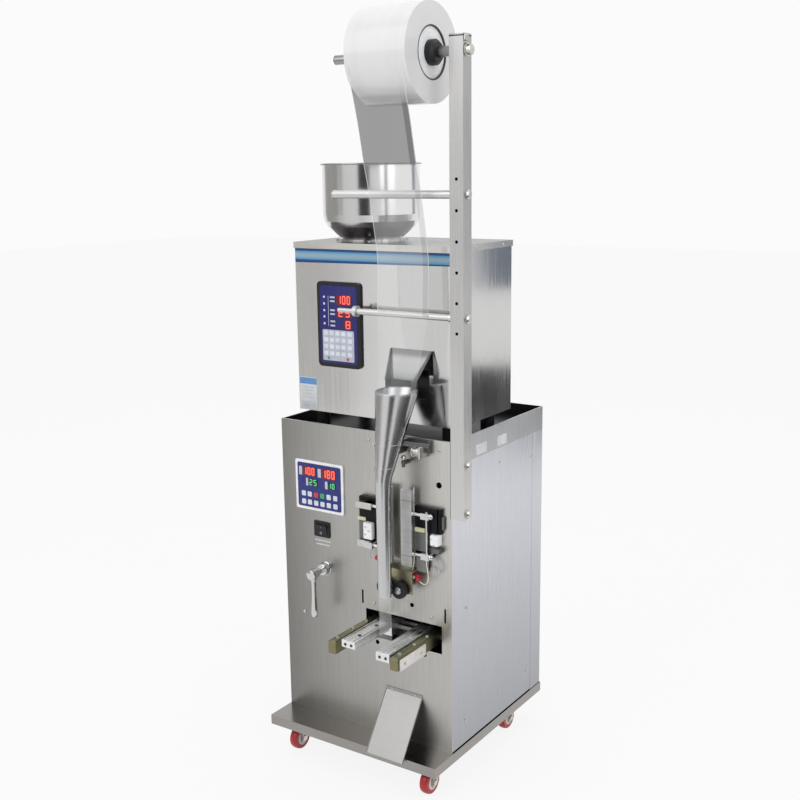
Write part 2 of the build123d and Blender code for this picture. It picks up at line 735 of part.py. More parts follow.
def make_chute():
    """Bent sheet from the front panel down over the front edge of the tray."""
    run = hypot(chute_end_y, chute_top - chute_end_z)
    oy = chute_gauge * (chute_top - chute_end_z) / run
    oz = -chute_gauge * chute_end_y / run
    keep("chute", across(film_centre - chute_width / 2, film_centre + chute_width / 2,
                         (0, chute_top + chute_flange), (-chute_gauge, chute_top + chute_flange),
                         (-chute_gauge, chute_top), (chute_end_y - oy, chute_end_z + oz),
                         (chute_end_y, chute_end_z), (0, chute_top - chute_gauge)))


os.makedirs("parts", exist_ok=True)
make_base()
make_castors()
make_front_panel()
make_cabinet()
make_weigher()
make_switch()
make_hopper()
make_mast()
make_shafts()
make_roll()
make_former()
make_trough()
make_film()
make_sealing()
make_pull_rollers()
make_jaws()
make_lever()
make_chute()
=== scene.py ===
from math import cos, pi, radians, sin

import bpy
import numpy as np
from mathutils import Matrix, Vector


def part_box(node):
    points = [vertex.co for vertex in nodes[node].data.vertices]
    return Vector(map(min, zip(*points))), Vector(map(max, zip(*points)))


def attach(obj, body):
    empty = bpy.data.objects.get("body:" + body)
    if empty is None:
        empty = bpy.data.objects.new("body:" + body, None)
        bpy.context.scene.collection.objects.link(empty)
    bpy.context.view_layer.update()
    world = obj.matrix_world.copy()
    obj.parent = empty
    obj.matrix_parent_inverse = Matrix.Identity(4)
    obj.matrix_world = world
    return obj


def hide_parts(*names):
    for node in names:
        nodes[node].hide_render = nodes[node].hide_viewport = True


# Sachet packing machine. Places are given in millimetres from the middle of the cabinet's width, the
# face of its front panel and the floor; the frame's own origin is met through the front panel's corner.
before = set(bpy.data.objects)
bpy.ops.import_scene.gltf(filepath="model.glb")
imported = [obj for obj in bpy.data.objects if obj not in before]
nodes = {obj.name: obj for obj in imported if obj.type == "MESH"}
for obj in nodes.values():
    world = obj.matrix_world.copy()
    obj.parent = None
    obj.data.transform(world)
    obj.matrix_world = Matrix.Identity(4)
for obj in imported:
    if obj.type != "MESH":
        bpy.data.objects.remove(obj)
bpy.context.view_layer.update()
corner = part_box("front_panel")[0]
origin = np.array((corner[0] * 1000 + 200, corner[1] * 1000, 0.0))


# Places that several pieces share: forming tube, foot and slope of the funnel, hopper, rods on the mast
TUBE_X, TUBE_Y = 90, -60
FOOT_Z, FOOT_R = 629, 14.5
LEAN, RISE, GROWTH = 47, 161, 25.5
HOPPER_X, HOPPER_Y = -72, 148
ROD_Y, SHAFT_Z, ROLLER_Z, GUIDE_Z = 13, 1388, 1147, 929
LEVER_X, LEVER_Z = -97.0, 404.0
MAST_X = 228
BOW_FROM, BOW = 68, 36.0

# Camera: place, then azimuth, elevation and roll in degrees, then focal length and picture width in pixels
CAMERA_PLACE = (1226.81, -1679.87, 1191.46)
CAMERA_TURNS = (34.106, -11.77, -0.79)
FOCAL_PX, PICTURE_PX, SENSOR_MM = 1112.17, 800, 36.0

# Strength of the world as the source of light, and as the camera and polished metal see it
WORLD_LIGHT, WORLD_SEEN = 0.78, 0.965


def metres(points):
    """Points in millimetres of this machine, as metres of the frame."""
    return (np.asarray(points, float) + origin) / 1000


def linked(name, data):
    """New object of the scene for a mesh, curve, lamp or camera."""
    obj = bpy.data.objects.new(name, data)
    bpy.context.scene.collection.objects.link(obj)
    return obj


# Shapes

def solid(rings, round_ways=True, lids=True):
    """Skin through a stack of rings: point (i, j) of ring i joins its neighbours in the ring and in
    rings i-1 and i+1; a flat lid closes each end. Faces are turned outward by the signed volume."""
    rings = np.asarray(rings, float)
    rows, cols = rings.shape[:2]
    i, j = np.meshgrid(np.arange(rows - 1), np.arange(cols if round_ways else cols - 1), indexing="ij")
    k = (j + 1) % cols
    quads = np.stack((i * cols + j, i * cols + k, (i + 1) * cols + k, (i + 1) * cols + j), -1).reshape(-1,
                                                                                                       4)
    points = rings.reshape(-1, 3)
    faces = quads.tolist()
    if lids:
        a, b, c, d = (points[quads[:, n]] for n in range(4))
        middle = points.mean(0)
        volume = sum(np.einsum("ij,ij->i", p - middle, np.cross(q - middle, r - middle)).sum()
                     for p, q, r in ((a, b, c), (a, c, d)))
        faces += [list(range(cols))[::-1], list(range((rows - 1) * cols, rows * cols))]
        if volume < 0:
            faces = [f[::-1] for f in faces]
    return points, faces


def piece(name, shapes, finish, body="root", sharp=32):
    """One object from several shapes, in its place in the frame, riding a body."""
    points, faces, count = [], [], 0
    for p, f in shapes:
        points.append(p)
        faces += [[n + count for n in face] for face in f]
        count += len(p)
    mesh = bpy.data.meshes.new(name)
    mesh.from_pydata(metres(np.concatenate(points)).tolist(), [], faces)
    mesh.polygons.foreach_set("use_smooth", np.ones(len(mesh.polygons), bool))
    mesh.set_sharp_from_angle(angle=radians(sharp))
    mesh.materials.append(finish)
    obj = linked(name, mesh)
    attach(obj, body)
    return obj


def rounded(width, height, radius, steps=6):
    """Rounded rectangle: a quarter circle about each corner's centre, counter-clockwise."""
    radius = max(min(radius, width / 2, height / 2), 0.001)
    turn = np.concatenate([q * pi / 2 + np.linspace(0, pi / 2, steps) for q in range(4)])
    sx = np.repeat((1, -1, -1, 1), steps) * (width / 2 - radius)
    sy = np.repeat((1, 1, -1, -1), steps) * (height / 2 - radius)
    return np.stack((sx + radius * np.cos(turn), sy + radius * np.sin(turn)), -1)


def around(sides):
    """Equal angles once round."""
    return np.arange(sides) * 2 * pi / sides


def polar(radius, turn):
    """Points of a plane at a radius, or one radius each, and an angle."""
    return np.stack((radius * np.cos(turn), radius * np.sin(turn)), -1)


def regular(radius, sides=32):
    """Circle or polygon: points at equal angles."""
    return polar(radius, around(sides))


def oval(x, y, z, radius_x, radius_y, turn):
    """Level ellipse about (x, y) at the height z, at each angle of turn."""
    level = np.full(len(turn), float(z))
    return np.stack((x + radius_x * np.cos(turn), y + radius_y * np.sin(turn), level), -1)


AXES = {"x": ((0, 1, 0), (0, 0, 1), (1, 0, 0)), "-x": ((0, -1, 0), (0, 0, 1), (-1, 0, 0)),
        "y": ((-1, 0, 0), (0, 0, 1), (0, 1, 0)), "-y": ((1, 0, 0), (0, 0, 1), (0, -1, 0)),
        "z": ((1, 0, 0), (0, 1, 0), (0, 0, 1)), "-z": ((1, 0, 0), (0, -1, 0), (0, 0, -1))}


def stacked(place, way, levels):
    """Outlines one above the other: each (outline, height) lies square to way, at its height from place."""
    u, v, n = (np.array(a, float) for a in AXES[way])
    place = np.array(place, float)
    return solid([place + line[:, :1] * u + line[:, 1:] * v + n * height for line, height in levels])


def lifted(outline, place, way, heights):
    """Stations of an outline pushed up from a plane: outline(inset) at each (inset, height) along way."""
    return stacked(place, way, [(outline(inset), h) for inset, h in heights])


def plate(x, z, width, height, y, depth, radius=2.0, edge=0.3, way="-y"):
    """Plate on an upright face at y: rounded rectangle whose front edge is rolled by a quarter circle."""
    steps = [(edge * (1 - cos(t)), depth - edge + edge * sin(t)) for t in np.linspace(0, pi / 2, 4)]
    return lifted(lambda s: rounded(width - 2 * s, height - 2 * s, radius - s), (x, y, z), way,
                  [(0, 0)] + steps)


def turned(place, way, line, sides=40):
    """Lathe work: each (distance along way, radius) is a circle about the axis through place."""
    return lifted(lambda r: regular(r, sides), place, way, [(r, h) for h, r in line])


def brick(x0, x1, y0, y1, z0, z1, edge=0.4):
    """Bar with softened edges: rounded rectangle in X and Y, drawn in at both ends by the same radius."""
    w, d = x1 - x0, y1 - y0
    return lifted(lambda s: rounded(w - 2 * s, d - 2 * s, edge, 3), ((x0 + x1) / 2, (y0 + y1) / 2, z0), "z",
                  [(edge, 0), (0, edge), (0, z1 - z0 - edge), (edge, z1 - z0)])


def swept(path, profile, up=(0, 0, 1)):
    """Profile carried along a path: each ring stands square to the path, its height towards up."""
    path = np.asarray(path, float)
    ahead = np.gradient(path, axis=0)
    ahead /= np.linalg.norm(ahead, axis=1, keepdims=True)
    side = np.cross(ahead, np.array(up, float))
    side /= np.linalg.norm(side, axis=1, keepdims=True)
    top = np.cross(side, ahead)
    profile = np.asarray(profile, float)
    return solid(path[:, None] + side[:, None] * profile[None, :, :1] + top[:, None] * profile[None, :, 1:])


# Finishes

class Finish:
    """A material and a short way of adding nodes to it."""

    def __init__(self, name, colour, metal=0.0, rough=0.5, **sockets):
        self.made = bpy.data.materials.new(name)
        self.made.use_nodes = True
        self.tree = self.made.node_tree
        self.shader = self.tree.nodes["Principled BSDF"]
        self.join(self.shader, Base_Color=(*colour, 1.0), Metallic=metal, Roughness=rough, **sockets)
        self.where = self.add("TexCoord").outputs["Object"]

    def join(self, node, **inputs):
        for key, value in inputs.items():
            socket = node.inputs[int(key[1:]) if key[0] == "i" and key[1:].isdigit() else key.replace("_",
                                                                                                      " ")]
            if isinstance(value, bpy.types.NodeSocket):
                self.tree.links.new(value, socket)
            else:
                socket.default_value = value

    def add(self, kind, props=(), **inputs):
        node = self.tree.nodes.new("ShaderNode" + kind)
        for key, value in dict(props).items():
            setattr(node, key, value)
        self.join(node, **inputs)
        return node

    def noise(self, scale, detail=3.0, rough=0.55):
        """Noise on object coordinates stretched by a scale for each axis."""
        where = self.add("Mapping", Vector=self.where, Scale=scale).outputs[0]
        return self.add("TexNoise", Vector=where, Scale=1.0, Detail=detail, Roughness=rough).outputs["Fac"]

    def ramp(self, factor, *stops):
        """Colour ramp through (place, colour) stops."""
        node = self.add("ValToRGB", Fac=factor)
        marks = node.color_ramp.elements
        while len(marks) < len(stops):
            marks.new(0.5)
        for mark, (place, colour) in zip(marks, stops):
            mark.position = place
            mark.color = (*colour, 1.0) if isinstance(colour, tuple) else (colour, colour, colour, 1.0)
        return node.outputs["Color"]

    def soft(self, noise, low, high=1.0):
        """Tone that goes from low to high with the middle part of a noise."""
        return self.ramp(noise, (0.3, low), (0.7, high))

    def times(self, a, b):
        return self.blend(1.0, a, b, "MULTIPLY")

    def blend(self, factor, a, b, kind="MIX"):
        node = self.add("Mix", {"data_type": "RGBA", "blend_type": kind}, Factor=factor)
        for socket, value in ((node.inputs[6], a), (node.inputs[7], b)):
            if isinstance(value, bpy.types.NodeSocket):
                self.tree.links.new(value, socket)
            else:
                socket.default_value = (*value, 1.0)
        return node.outputs[2]

    def sum(self, kind, a, b):
        return self.add("Math", {"operation": kind}, i0=a, i1=b).outputs[0]

    def span(self, factor, low, high, to_low=0.0, to_high=1.0):
        return self.add("MapRange", Value=factor, From_Min=low, From_Max=high, To_Min=to_low,
                        To_Max=to_high).outputs[0]

    def bump(self, height, depth, strength=1.0):
        node = self.add("Bump", Height=height, Distance=depth, Strength=strength)
        self.join(self.shader, Normal=node.outputs[0])

    def use(self, **inputs):
        self.join(self.shader, **inputs)


def tone(colour, k):
    """Colour made lighter or darker."""
    return tuple(min(1.0, c * k) for c in colour)


def painted_shade_along(f, clouds, axis, stops):
    """Tone times painted shade: a slow darkening and lightening along one axis, set by (place in
    millimetres, share) stops, if any.
    """
    if not stops:
        return clouds
    low, high = stops[0][0], stops[-1][0]
    place = f.add("SeparateXYZ", Vector=f.where).outputs[axis]
    way = f.span(place, (low + origin[axis]) / 1000, (high + origin[axis]) / 1000)
    change = f.ramp(way, *(((at - low) / (high - low), share) for at, share in stops))
    return f.times(clouds, change)


def brushed(name, colour, rough, grain=(700, 700, 9), streak=0.1, cloud=0.06, depth=0.00002, levels=(),
            across=()):
    """Brushed sheet: fine streaks along the grain and slow clouds in tone and sheen; levels are
    (height in millimetres, share of the colour) stops of painted shade up the sheet, and across the same
    from its left to its right."""
    f = Finish(name, colour, 1.0, rough)
    fine = f.noise(grain, 4.0, 0.7)
    slow = f.noise((5, 5, 4), 3.0)
    # The levels and across stops multiply painted shade into the slow clouds of tone.
    clouds = painted_shade_along(f, painted_shade_along(f, f.soft(slow, 1 - cloud), 2, levels), 0, across)
    f.use(Base_Color=f.times(f.soft(fine, tone(colour, 1 - streak), tone(colour, 1 + streak)), clouds),
          Roughness=f.sum("ADD", f.span(fine, 0.3, 0.7, rough - 0.05, rough + 0.05),
                          f.span(slow, 0.3, 0.7, -0.03, 0.04)))
    f.bump(fine, depth)
    return f.made


def polished(name, colour, rough, waves=0.0004, across=()):
    """Polished metal: nearly a mirror, with slow waves in the sheet and faint smudges; across is
    (place in millimetres, share) stops of a painted reflection from its left to its right.
    """
    f = Finish(name, colour, 1.0, rough)
    slow = f.noise((6, 6, 5), 2.0)
    wipe = f.noise((14, 14, 9), 1.5)
    wiped = f.ramp(wipe, (0.25, tone(colour, 0.95)), (0.75, colour))
    # across multiplies a painted reflection into the slow tone.
    f.use(Base_Color=f.times(wiped, painted_shade_along(f, f.soft(slow, 0.95), 0, across)),
          Roughness=f.span(wipe, 0.3, 0.7, rough * 0.9, rough * 1.25))
    f.bump(slow, waves)
    return f.made


def machined(name, colour, rough, grain=(60, 900, 60)):
    """Machined block: tool marks across it and a little spread in tone."""
    f = Finish(name, colour, 1.0, rough)
    marks = f.noise(grain, 3.0, 0.6)
    slow = f.noise((30, 30, 30), 3.0)
    f.use(Base_Color=f.times(f.soft(marks, tone(colour, 0.92), tone(colour, 1.05)), f.soft(slow, 0.88)),
          Roughness=f.span(marks, 0.3, 0.7, rough - 0.04, rough + 0.05))
    f.bump(marks, 0.000015)
    return f.made


def zinc(name, colour, warm, rough):
    """Zinc plate with a yellow passivated bloom: two tints in clouds, and fine rolled grain."""
    f = Finish(name, colour, 1.0, rough)
    bloom = f.noise((26, 14, 40), 4.0, 0.6)
    grain = f.noise((160, 40, 160), 2.0)
    f.use(Base_Color=f.times(f.ramp(bloom, (0.32, colour), (0.68, warm)), f.soft(grain, 0.86)),
          Roughness=f.span(grain, 0.3, 0.7, rough - 0.03, rough + 0.05))
    f.bump(grain, 0.00001)
    return f.made


def moulded(name, colour, rough, grain=1400, **sockets):
    """Moulded plastic or rubber: fine pebble grain, faint dust and slow change of sheen."""
    f = Finish(name, colour, 0.0, rough, **sockets)
    pebble = f.noise((grain, grain, grain), 2.0)
    dust = f.noise((60, 60, 60), 5.0, 0.65)
    f.use(Base_Color=f.ramp(dust, (0.35, tone(colour, 0.88)), (0.75, tone(colour, 1.1))),
          Roughness=f.span(dust, 0.3, 0.7, rough - 0.05, rough + 0.08))
    f.bump(pebble, 0.00003)
    return f.made


# The front's levels and across stops darken it towards the bottom and strongly towards the left: painted
# shade.
front_steel_painted_shade = brushed("front_steel_painted_shade", (0.62, 0.61, 0.58), 0.36, levels=((95, 0.8), (330, 0.86), (600, 1.0)),
                      across=((-200, 0.44), (-60, 0.74), (60, 0.86), (200, 1.0)))
# The sides' levels darken them towards the bottom: painted shade.
side_steel_painted_shade = brushed("side_steel_painted_shade", (0.76, 0.77, 0.82), 0.3,
                     levels=((90, 0.52), (350, 0.72), (560, 0.94), (690, 1.0)))
band_steel = brushed("band_steel", (0.57, 0.575, 0.585), 0.34)
# The mast's levels darken it towards the top: painted shade.
mast_steel_painted_shade = brushed("mast_steel_painted_shade", (0.64, 0.635, 0.63), 0.3, levels=((560, 1.0), (900, 0.86), (1400, 0.72)))
chute_steel = brushed("chute_steel", (0.34, 0.335, 0.33), 0.3, (12, 700, 700))
tray_steel = brushed("tray_steel", (0.33, 0.315, 0.3), 0.2, (9, 500, 500), 0.06)
weigher_steel = brushed("weigher_steel", (0.66, 0.655, 0.65), 0.12, (500, 500, 7), 0.04, 0.04, 0.000008)
# Near-black steel for the lid's top faces, a shaded copy of the lid's steel: painted shade.
lid_top_painted_shade = brushed("lid_top_painted_shade", (0.13, 0.125, 0.125), 0.24, (8, 500, 500), 0.05)
# The hopper's across stops darken a band down the bowl's middle: painted reflection.
hopper_steel_painted_reflection = polished("hopper_steel_painted_reflection", (0.88, 0.875, 0.87), 0.17,
                        across=((-130, 0.84), (-105, 0.78), (-72, 0.63), (-40, 0.69), (5, 0.98), (27, 1.0)))
former_steel = polished("former_steel", (0.6, 0.6, 0.61), 0.24, 0.0001)
# The trough's levels darken it low down and at its top edge: painted shade.
trough_steel_painted_shade = brushed("trough_steel_painted_shade", (0.36, 0.36, 0.365), 0.2, (8, 500, 500), 0.04, 0.05, 0.00001,
                       levels=((806, 0.3), (812, 0.62), (822, 0.8), (842, 0.86), (847, 0.72), (852, 0.4),
                               (860, 0.36)))
chrome = polished("chrome", (0.62, 0.62, 0.63), 0.08, 0.0001)
rod_steel = polished("rod_steel", (0.34, 0.34, 0.345), 0.16, 0.0001)
satin_rod = brushed("satin_rod", (0.66, 0.66, 0.65), 0.42, (9, 400, 400), 0.04, 0.03, 0.000005)
nut_zinc = zinc("nut_zinc", (0.62, 0.62, 0.6), (0.66, 0.64, 0.58), 0.25)
fork_zinc = zinc("fork_zinc", (0.5, 0.5, 0.48), (0.56, 0.53, 0.44), 0.32)
bar_zinc = zinc("bar_zinc", (0.2, 0.22, 0.15), (0.3, 0.26, 0.14), 0.4)
plate_zinc = zinc("plate_zinc", (0.34, 0.36, 0.26), (0.42, 0.36, 0.22), 0.36)
jaw_metal = machined("jaw_metal", (0.9, 0.91, 0.91), 0.4, (20, 200, 20))
seal_metal = machined("seal_metal", (0.86, 0.86, 0.86), 0.46, (20, 20, 200))
heater_metal = machined("heater_metal", (0.024, 0.024, 0.026), 0.42)
inner_metal = machined("inner_metal", (0.2, 0.2, 0.195), 0.45)
brass = machined("brass", (0.5, 0.34, 0.13), 0.3)
black_plastic = moulded("black_plastic", (0.014, 0.015, 0.018), 0.38, Specular_IOR_Level=0.3)
white_plastic = moulded("white_plastic", (0.88, 0.89, 0.9), 0.4)
red_tyre = moulded("red_tyre", (0.42, 0.015, 0.02), 0.32)
hub_plastic = moulded("hub_plastic", (0.66, 0.62, 0.6), 0.4)
keypad_blue = moulded("keypad_blue", (0.024, 0.024, 0.15), 0.2, 900, Specular_IOR_Level=0.3)
console_blue = moulded("console_blue", (0.034, 0.042, 0.2), 0.25, 900, Specular_IOR_Level=0.25)
card = moulded("card", (0.05, 0.045, 0.045), 0.6, 500)
frame_white = moulded("frame_white", (0.84, 0.84, 0.86), 0.35, 600)
label_white = moulded("label_white", (0.62, 0.63, 0.65), 0.35, 600)


def wound_film():
    """Wound film: faint edges of the turns as rings on the ends, soft bands along the outside."""
    f = Finish("wound_film", (0.9, 0.9, 0.9), 0.0, 0.16, Coat_Weight=0.15, Coat_Roughness=0.2)
    axis = (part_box("film_roll")[0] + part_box("film_roll")[1]) / 2
    here = f.add("Mapping", Vector=f.where, Location=(0, -axis[1], -axis[2])).outputs[0]
    flat = f.add("VectorMath", {"operation": "MULTIPLY"}, i0=here, i1=(0, 1, 1)).outputs[0]
    radius = f.add("VectorMath", {"operation": "LENGTH"}, i0=flat).outputs["Value"]
    rings = f.add("TexNoise", {"noise_dimensions": "1D"}, W=radius, Scale=900.0, Detail=2.0).outputs["Fac"]
    bands = f.noise((60, 4, 4), 3.0)
    turns = f.ramp(rings, (0.35, (0.66, 0.655, 0.655)), (0.65, (0.735, 0.73, 0.73)))
    f.use(Base_Color=f.times(turns, f.soft(bands, 0.96)))
    f.bump(rings, 0.00003)
    return f.made


roll_film = wound_film()


def glass(name, colour, alpha, levels=(), fold=None):
    """Clear film: a thin tinted sheet with slow ripples. levels are (height, tint, cover) stops in
    millimetres from below up, and fold=(x0, x1) is a doubled strip, which covers more. Left of BOW_FROM
    the levels lie higher by BOW times the distance squared, in metres, as the film curls up there."""
    f = Finish(name, colour, 0.0, 0.12, Alpha=alpha, IOR=1.3)
    ripple = f.noise((9, 9, 3), 2.0)
    f.bump(ripple, 0.002, 0.5)
    f.use(Base_Color=f.soft(ripple, tone(colour, 0.93), tone(colour, 1.05)))
    if levels:
        place = f.add("SeparateXYZ", Vector=f.where).outputs
        low, high = levels[0][0], levels[-1][0]
        left, right = (metres((x, 0, 0))[0] for x in fold)
        bow = f.sum("MAXIMUM", f.sum("SUBTRACT", metres((BOW_FROM, 0, 0))[0], place[0]), 0.0)
        bow = f.sum("MULTIPLY", f.sum("MULTIPLY", f.sum("MULTIPLY", bow, bow), BOW),
                    f.span(place[2], 1.23, 1.29))
        height = f.span(f.sum("SUBTRACT", place[2], bow), low / 1000, high / 1000)
        shade = f.ramp(height, *(((z - low) / (high - low), tinted) for z, tinted, _ in levels))
        cover = f.ramp(height, *(((z - low) / (high - low), covered) for z, _, covered in levels))
        inside = f.sum("MULTIPLY", f.sum("GREATER_THAN", place[0], left), f.sum("LESS_THAN", place[0],
                                                                                right))
        inside = f.sum("MULTIPLY", inside, f.span(place[2], 1.36, 1.31))
        f.use(Base_Color=f.blend(f.sum("MULTIPLY", inside, 0.6), shade, tone(levels[-3][1], 0.5)))
        f.use(Alpha=f.sum("ADD", cover, f.sum("MULTIPLY", inside, 0.1)))
    return f.made


def lit(name, colour, strength):
    """Lit sign or lamp: its own glow under a clear front, a little uneven."""
    f = Finish(name, colour, 0.0, 0.3)
    glow = f.soft(f.noise((300, 300, 300), 2.0), tone(colour, 0.85), colour)
    f.use(Emission_Color=glow, Emission_Strength=strength)
    return f.made


def striped(name, low, high, *stops):
    """Printed strip: colours by height between two levels, with a fine printed grain."""
    f = Finish(name, (0.3, 0.5, 0.7), 0.0, 0.25)
    height = f.add("SeparateXYZ", Vector=f.where).outputs[2]
    colours = f.ramp(f.span(height, low / 1000, high / 1000), *stops)
    f.use(Base_Color=f.times(colours, f.soft(f.noise((20, 20, 400), 3.0), 0.94)))
    return f.made


lid_front = brushed("lid_front", (0.7, 0.69, 0.66), 0.2, (8, 500, 500), 0.04)
# Near-black steel for the recess in the pan under the weigher and for the outlet's opening: painted shade.
pan_painted_shade = brushed("pan_painted_shade", (0.05, 0.05, 0.055), 0.4, (8, 500, 500), 0.05)
film_upper = glass("film_upper", (0.86, 0.87, 0.87), 0.2, fold=(137, 149.5),
                   levels=((929, (0.84, 0.85, 0.85), 0.2), (1046, (0.84, 0.85, 0.85), 0.2),
                           (1062, (0.6, 0.61, 0.62), 0.27), (1197, (0.56, 0.56, 0.56), 0.27),
                           (1201, (0.2, 0.195, 0.195), 0.84), (1300.5, (0.2, 0.195, 0.195), 0.84),
                           (1304, (0.55, 0.55, 0.55), 0.12), (1366, (0.85, 0.85, 0.85), 0.0)))
film_lower = glass("film_lower", (0.86, 0.88, 0.88), 0.12)
film_edge = glass("film_edge", (0.86, 0.87, 0.87), 0.35)
film_tube = glass("film_tube", (0.8, 0.83, 0.83), 0.16)
red_glass = moulded("red_glass", (0.16, 0.012, 0.015), 0.12, 900)
green_glass = moulded("green_glass", (0.012, 0.03, 0.022), 0.12, 900)
red_light = lit("red_light", (1.0, 0.1, 0.08), 1.1)
green_light = lit("green_light", (0.08, 0.55, 0.22), 0.7)
pale_light = lit("pale_light", (0.45, 0.5, 0.66), 0.25)
button_white = moulded("button_white", (0.66, 0.7, 0.78), 0.35)
button_grey = moulded("button_grey", (0.46, 0.48, 0.56), 0.35)
button_red = moulded("button_red", (0.55, 0.05, 0.05), 0.35)
button_green = moulded("button_green", (0.05, 0.36, 0.16), 0.35)
label_grey = moulded("label_grey", (0.5, 0.54, 0.6), 0.35, 700)
label_cream = moulded("label_cream", (0.62, 0.6, 0.4), 0.45, 700)
label_blue = moulded("label_blue", (0.1, 0.26, 0.52), 0.3, 700)
wire_cream = moulded("wire_cream", (0.7, 0.66, 0.56), 0.4, 900)
sleeve_grey = moulded("sleeve_grey", (0.2, 0.2, 0.195), 0.35, 700)
terminal_red = moulded("terminal_red", (0.45, 0.015, 0.03), 0.3)
jaw_end = machined("jaw_end", (0.27, 0.24, 0.14), 0.4)
stripe_blue = striped("stripe_blue", 1013, 1043, (0.0, (0.006, 0.035, 0.16)), (0.22, (0.008, 0.06, 0.22)),
                      (0.27, (0.07, 0.27, 0.48)), (0.44, (0.26, 0.38, 0.46)), (0.6, (0.25, 0.38, 0.47)),
                      (0.77, (0.07, 0.27, 0.48)), (0.82, (0.008, 0.06, 0.22)), (1.0, (0.006, 0.03, 0.14)))


coats = {
    front_steel_painted_shade: ("front_panel",), side_steel_painted_shade: ("side_panels", "back_panel"),
    band_steel: ("top_pan",), mast_steel_painted_shade: ("mast",), chute_steel: ("chute",), tray_steel: ("base_tray",),
    weigher_steel: ("weigher_box",), lid_top_painted_shade: ("weigher_lid",), hopper_steel_painted_reflection: ("hopper",),
    former_steel: ("former",), trough_steel_painted_shade: ("product_trough",),
    chrome: ("lever", "lever_hub"), rod_steel: ("mast_shafts",), satin_rod: ("tension_roller", "guide_rod"),
    nut_zinc: ("mast_nuts",), bar_zinc: ("jaw_bar_left", "jaw_bar_right"),
    plate_zinc: ("roller_bracket",), jaw_metal: ("jaw_left", "jaw_right"),
    seal_metal: ("seal_bar_left", "seal_bar_right"), heater_metal: ("heaters",),
    inner_metal: ("jaw_guides", "former_bracket"),
    black_plastic: ("mast_cap", "roll_knob", "power_switch", "power_rocker", "pull_roller_left",
                    "pull_roller_right", "weigher_keypad", "weigher_feet"),
    white_plastic: ("roll_plugs",), frame_white: ("control_panel",), card: ("roll_core",),
    roll_film: ("film_roll",),
}
for material, names in coats.items():
    for name in names:
        nodes[name].data.materials.clear()
        nodes[name].data.materials.append(material)


def recoat(name, material, chosen):
    """Give a second material to the faces of a node whose middle and normal are chosen."""
    mesh = nodes[name].data
    mesh.materials.append(material)
    middles, normals = np.empty(len(mesh.polygons) * 3), np.empty(len(mesh.polygons) * 3)
    mesh.polygons.foreach_get("center", middles)
    mesh.polygons.foreach_get("normal", normals)
    places = middles.reshape(-1, 3) * 1000 - origin
    index = np.where(chosen(places, normals.reshape(-1, 3)), len(mesh.materials) - 1, 0)
    mesh.polygons.foreach_set("material_index", index.astype(np.int32))


# The lid's top faces keep the near-black steel, which is painted shade; the other faces take the lighter
# lid_front.
recoat("weigher_lid", lid_front, lambda p, n: n[:, 2] < 0.5)
# Faces inside the pan under the weigher take the near-black steel: painted shade.
recoat("top_pan", pan_painted_shade,
       lambda p, n: (abs(p[:, 0]) < 198.5) & (p[:, 1] > 3) & (p[:, 1] < 367) & (p[:, 2] < 702))
recoat("heaters", chrome,
       lambda p, n: (p[:, 1] < -8.5) & (np.minimum(abs(p[:, 2] - 560), abs(p[:, 2] - 481)) < 6.6))
for name, node in nodes.items():
    if name.startswith("castor_fork") or name.startswith("castor_wheel"):
        node.data.materials.clear()
        node.data.materials.append(fork_zinc if "fork" in name else red_tyre)


# Shapes of the details

def smooth(points, count):
    """Curve through points: on each span a cubic whose end slopes are half the step between neighbours."""
    p = np.asarray(points, float)
    p = np.concatenate((2 * p[:1] - p[1:2], p, 2 * p[-1:] - p[-2:-1]))
    t = np.linspace(0, len(p) - 3 - 1e-9, count)
    i = t.astype(int)
    f = (t - i)[:, None]
    a, b, c, d = p[i], p[i + 1], p[i + 2], p[i + 3]
    return b + 0.5 * ((c - a) * f + (2 * a - 5 * b + 4 * c - d) * f ** 2 + (3 * b - a - 3 * c + d) * f ** 3)


def cross_outline(radius, sides=32):
    """Cross-slot of a screw: radius times 0.34 + 0.66 |cos 2t| cubed at the angle t."""
    t = around(sides)
    return polar(radius * (0.34 + 0.66 * np.abs(np.cos(2 * t)) ** 3), t)


def knurled_outline(radius, teeth, depth, sides):
    """Knurled round: the radius swings by a share of itself, as a cosine, once for each tooth."""
    t = around(sides)
    return polar(radius * (1 + depth * np.cos(teeth * t)), t)


def screw(place, way, radius=3.4, height=2.0):
    """Pan-head screw: a domed head as lathe work, then the cross-slot sunk into it."""
    rise = np.linspace(0, pi / 2.4, 6)
    dome = [(regular(radius * cos(t)), height * (0.35 + 0.65 * sin(t))) for t in rise]
    slot = [(cross_outline(radius * 0.62), height * 0.98), (cross_outline(radius * 0.5), height * 0.35)]
    return stacked(place, way, [(regular(radius), -0.5)] + dome + slot)


def hex_head(place, way, radius=4.0, height=3.2):
    """Socket screw: a round head with a bevelled top edge and a six-sided hole."""
    share = np.tile(np.arange(6) / 6, 6)[:, None]
    near = np.repeat(regular(radius * 0.55, 6), 6, 0)
    hexagon = near * (1 - share) + np.roll(near, -6, 0) * share
    return stacked(place, way, [(regular(radius, 36), -0.5), (regular(radius, 36), height - 0.5),
                                (regular(radius - 0.5, 36), height), (hexagon, height),
                                (hexagon * 0.98, height * 0.3)])


def domed(place, way, radius, rise):
    """Round button or cap: a part of an ellipse up to the middle."""
    arc = [(rise * sin(t), radius * cos(t)) for t in np.linspace(0, pi / 2.08, 6)]
    return turned(place, way, [(0, radius)] + arc)


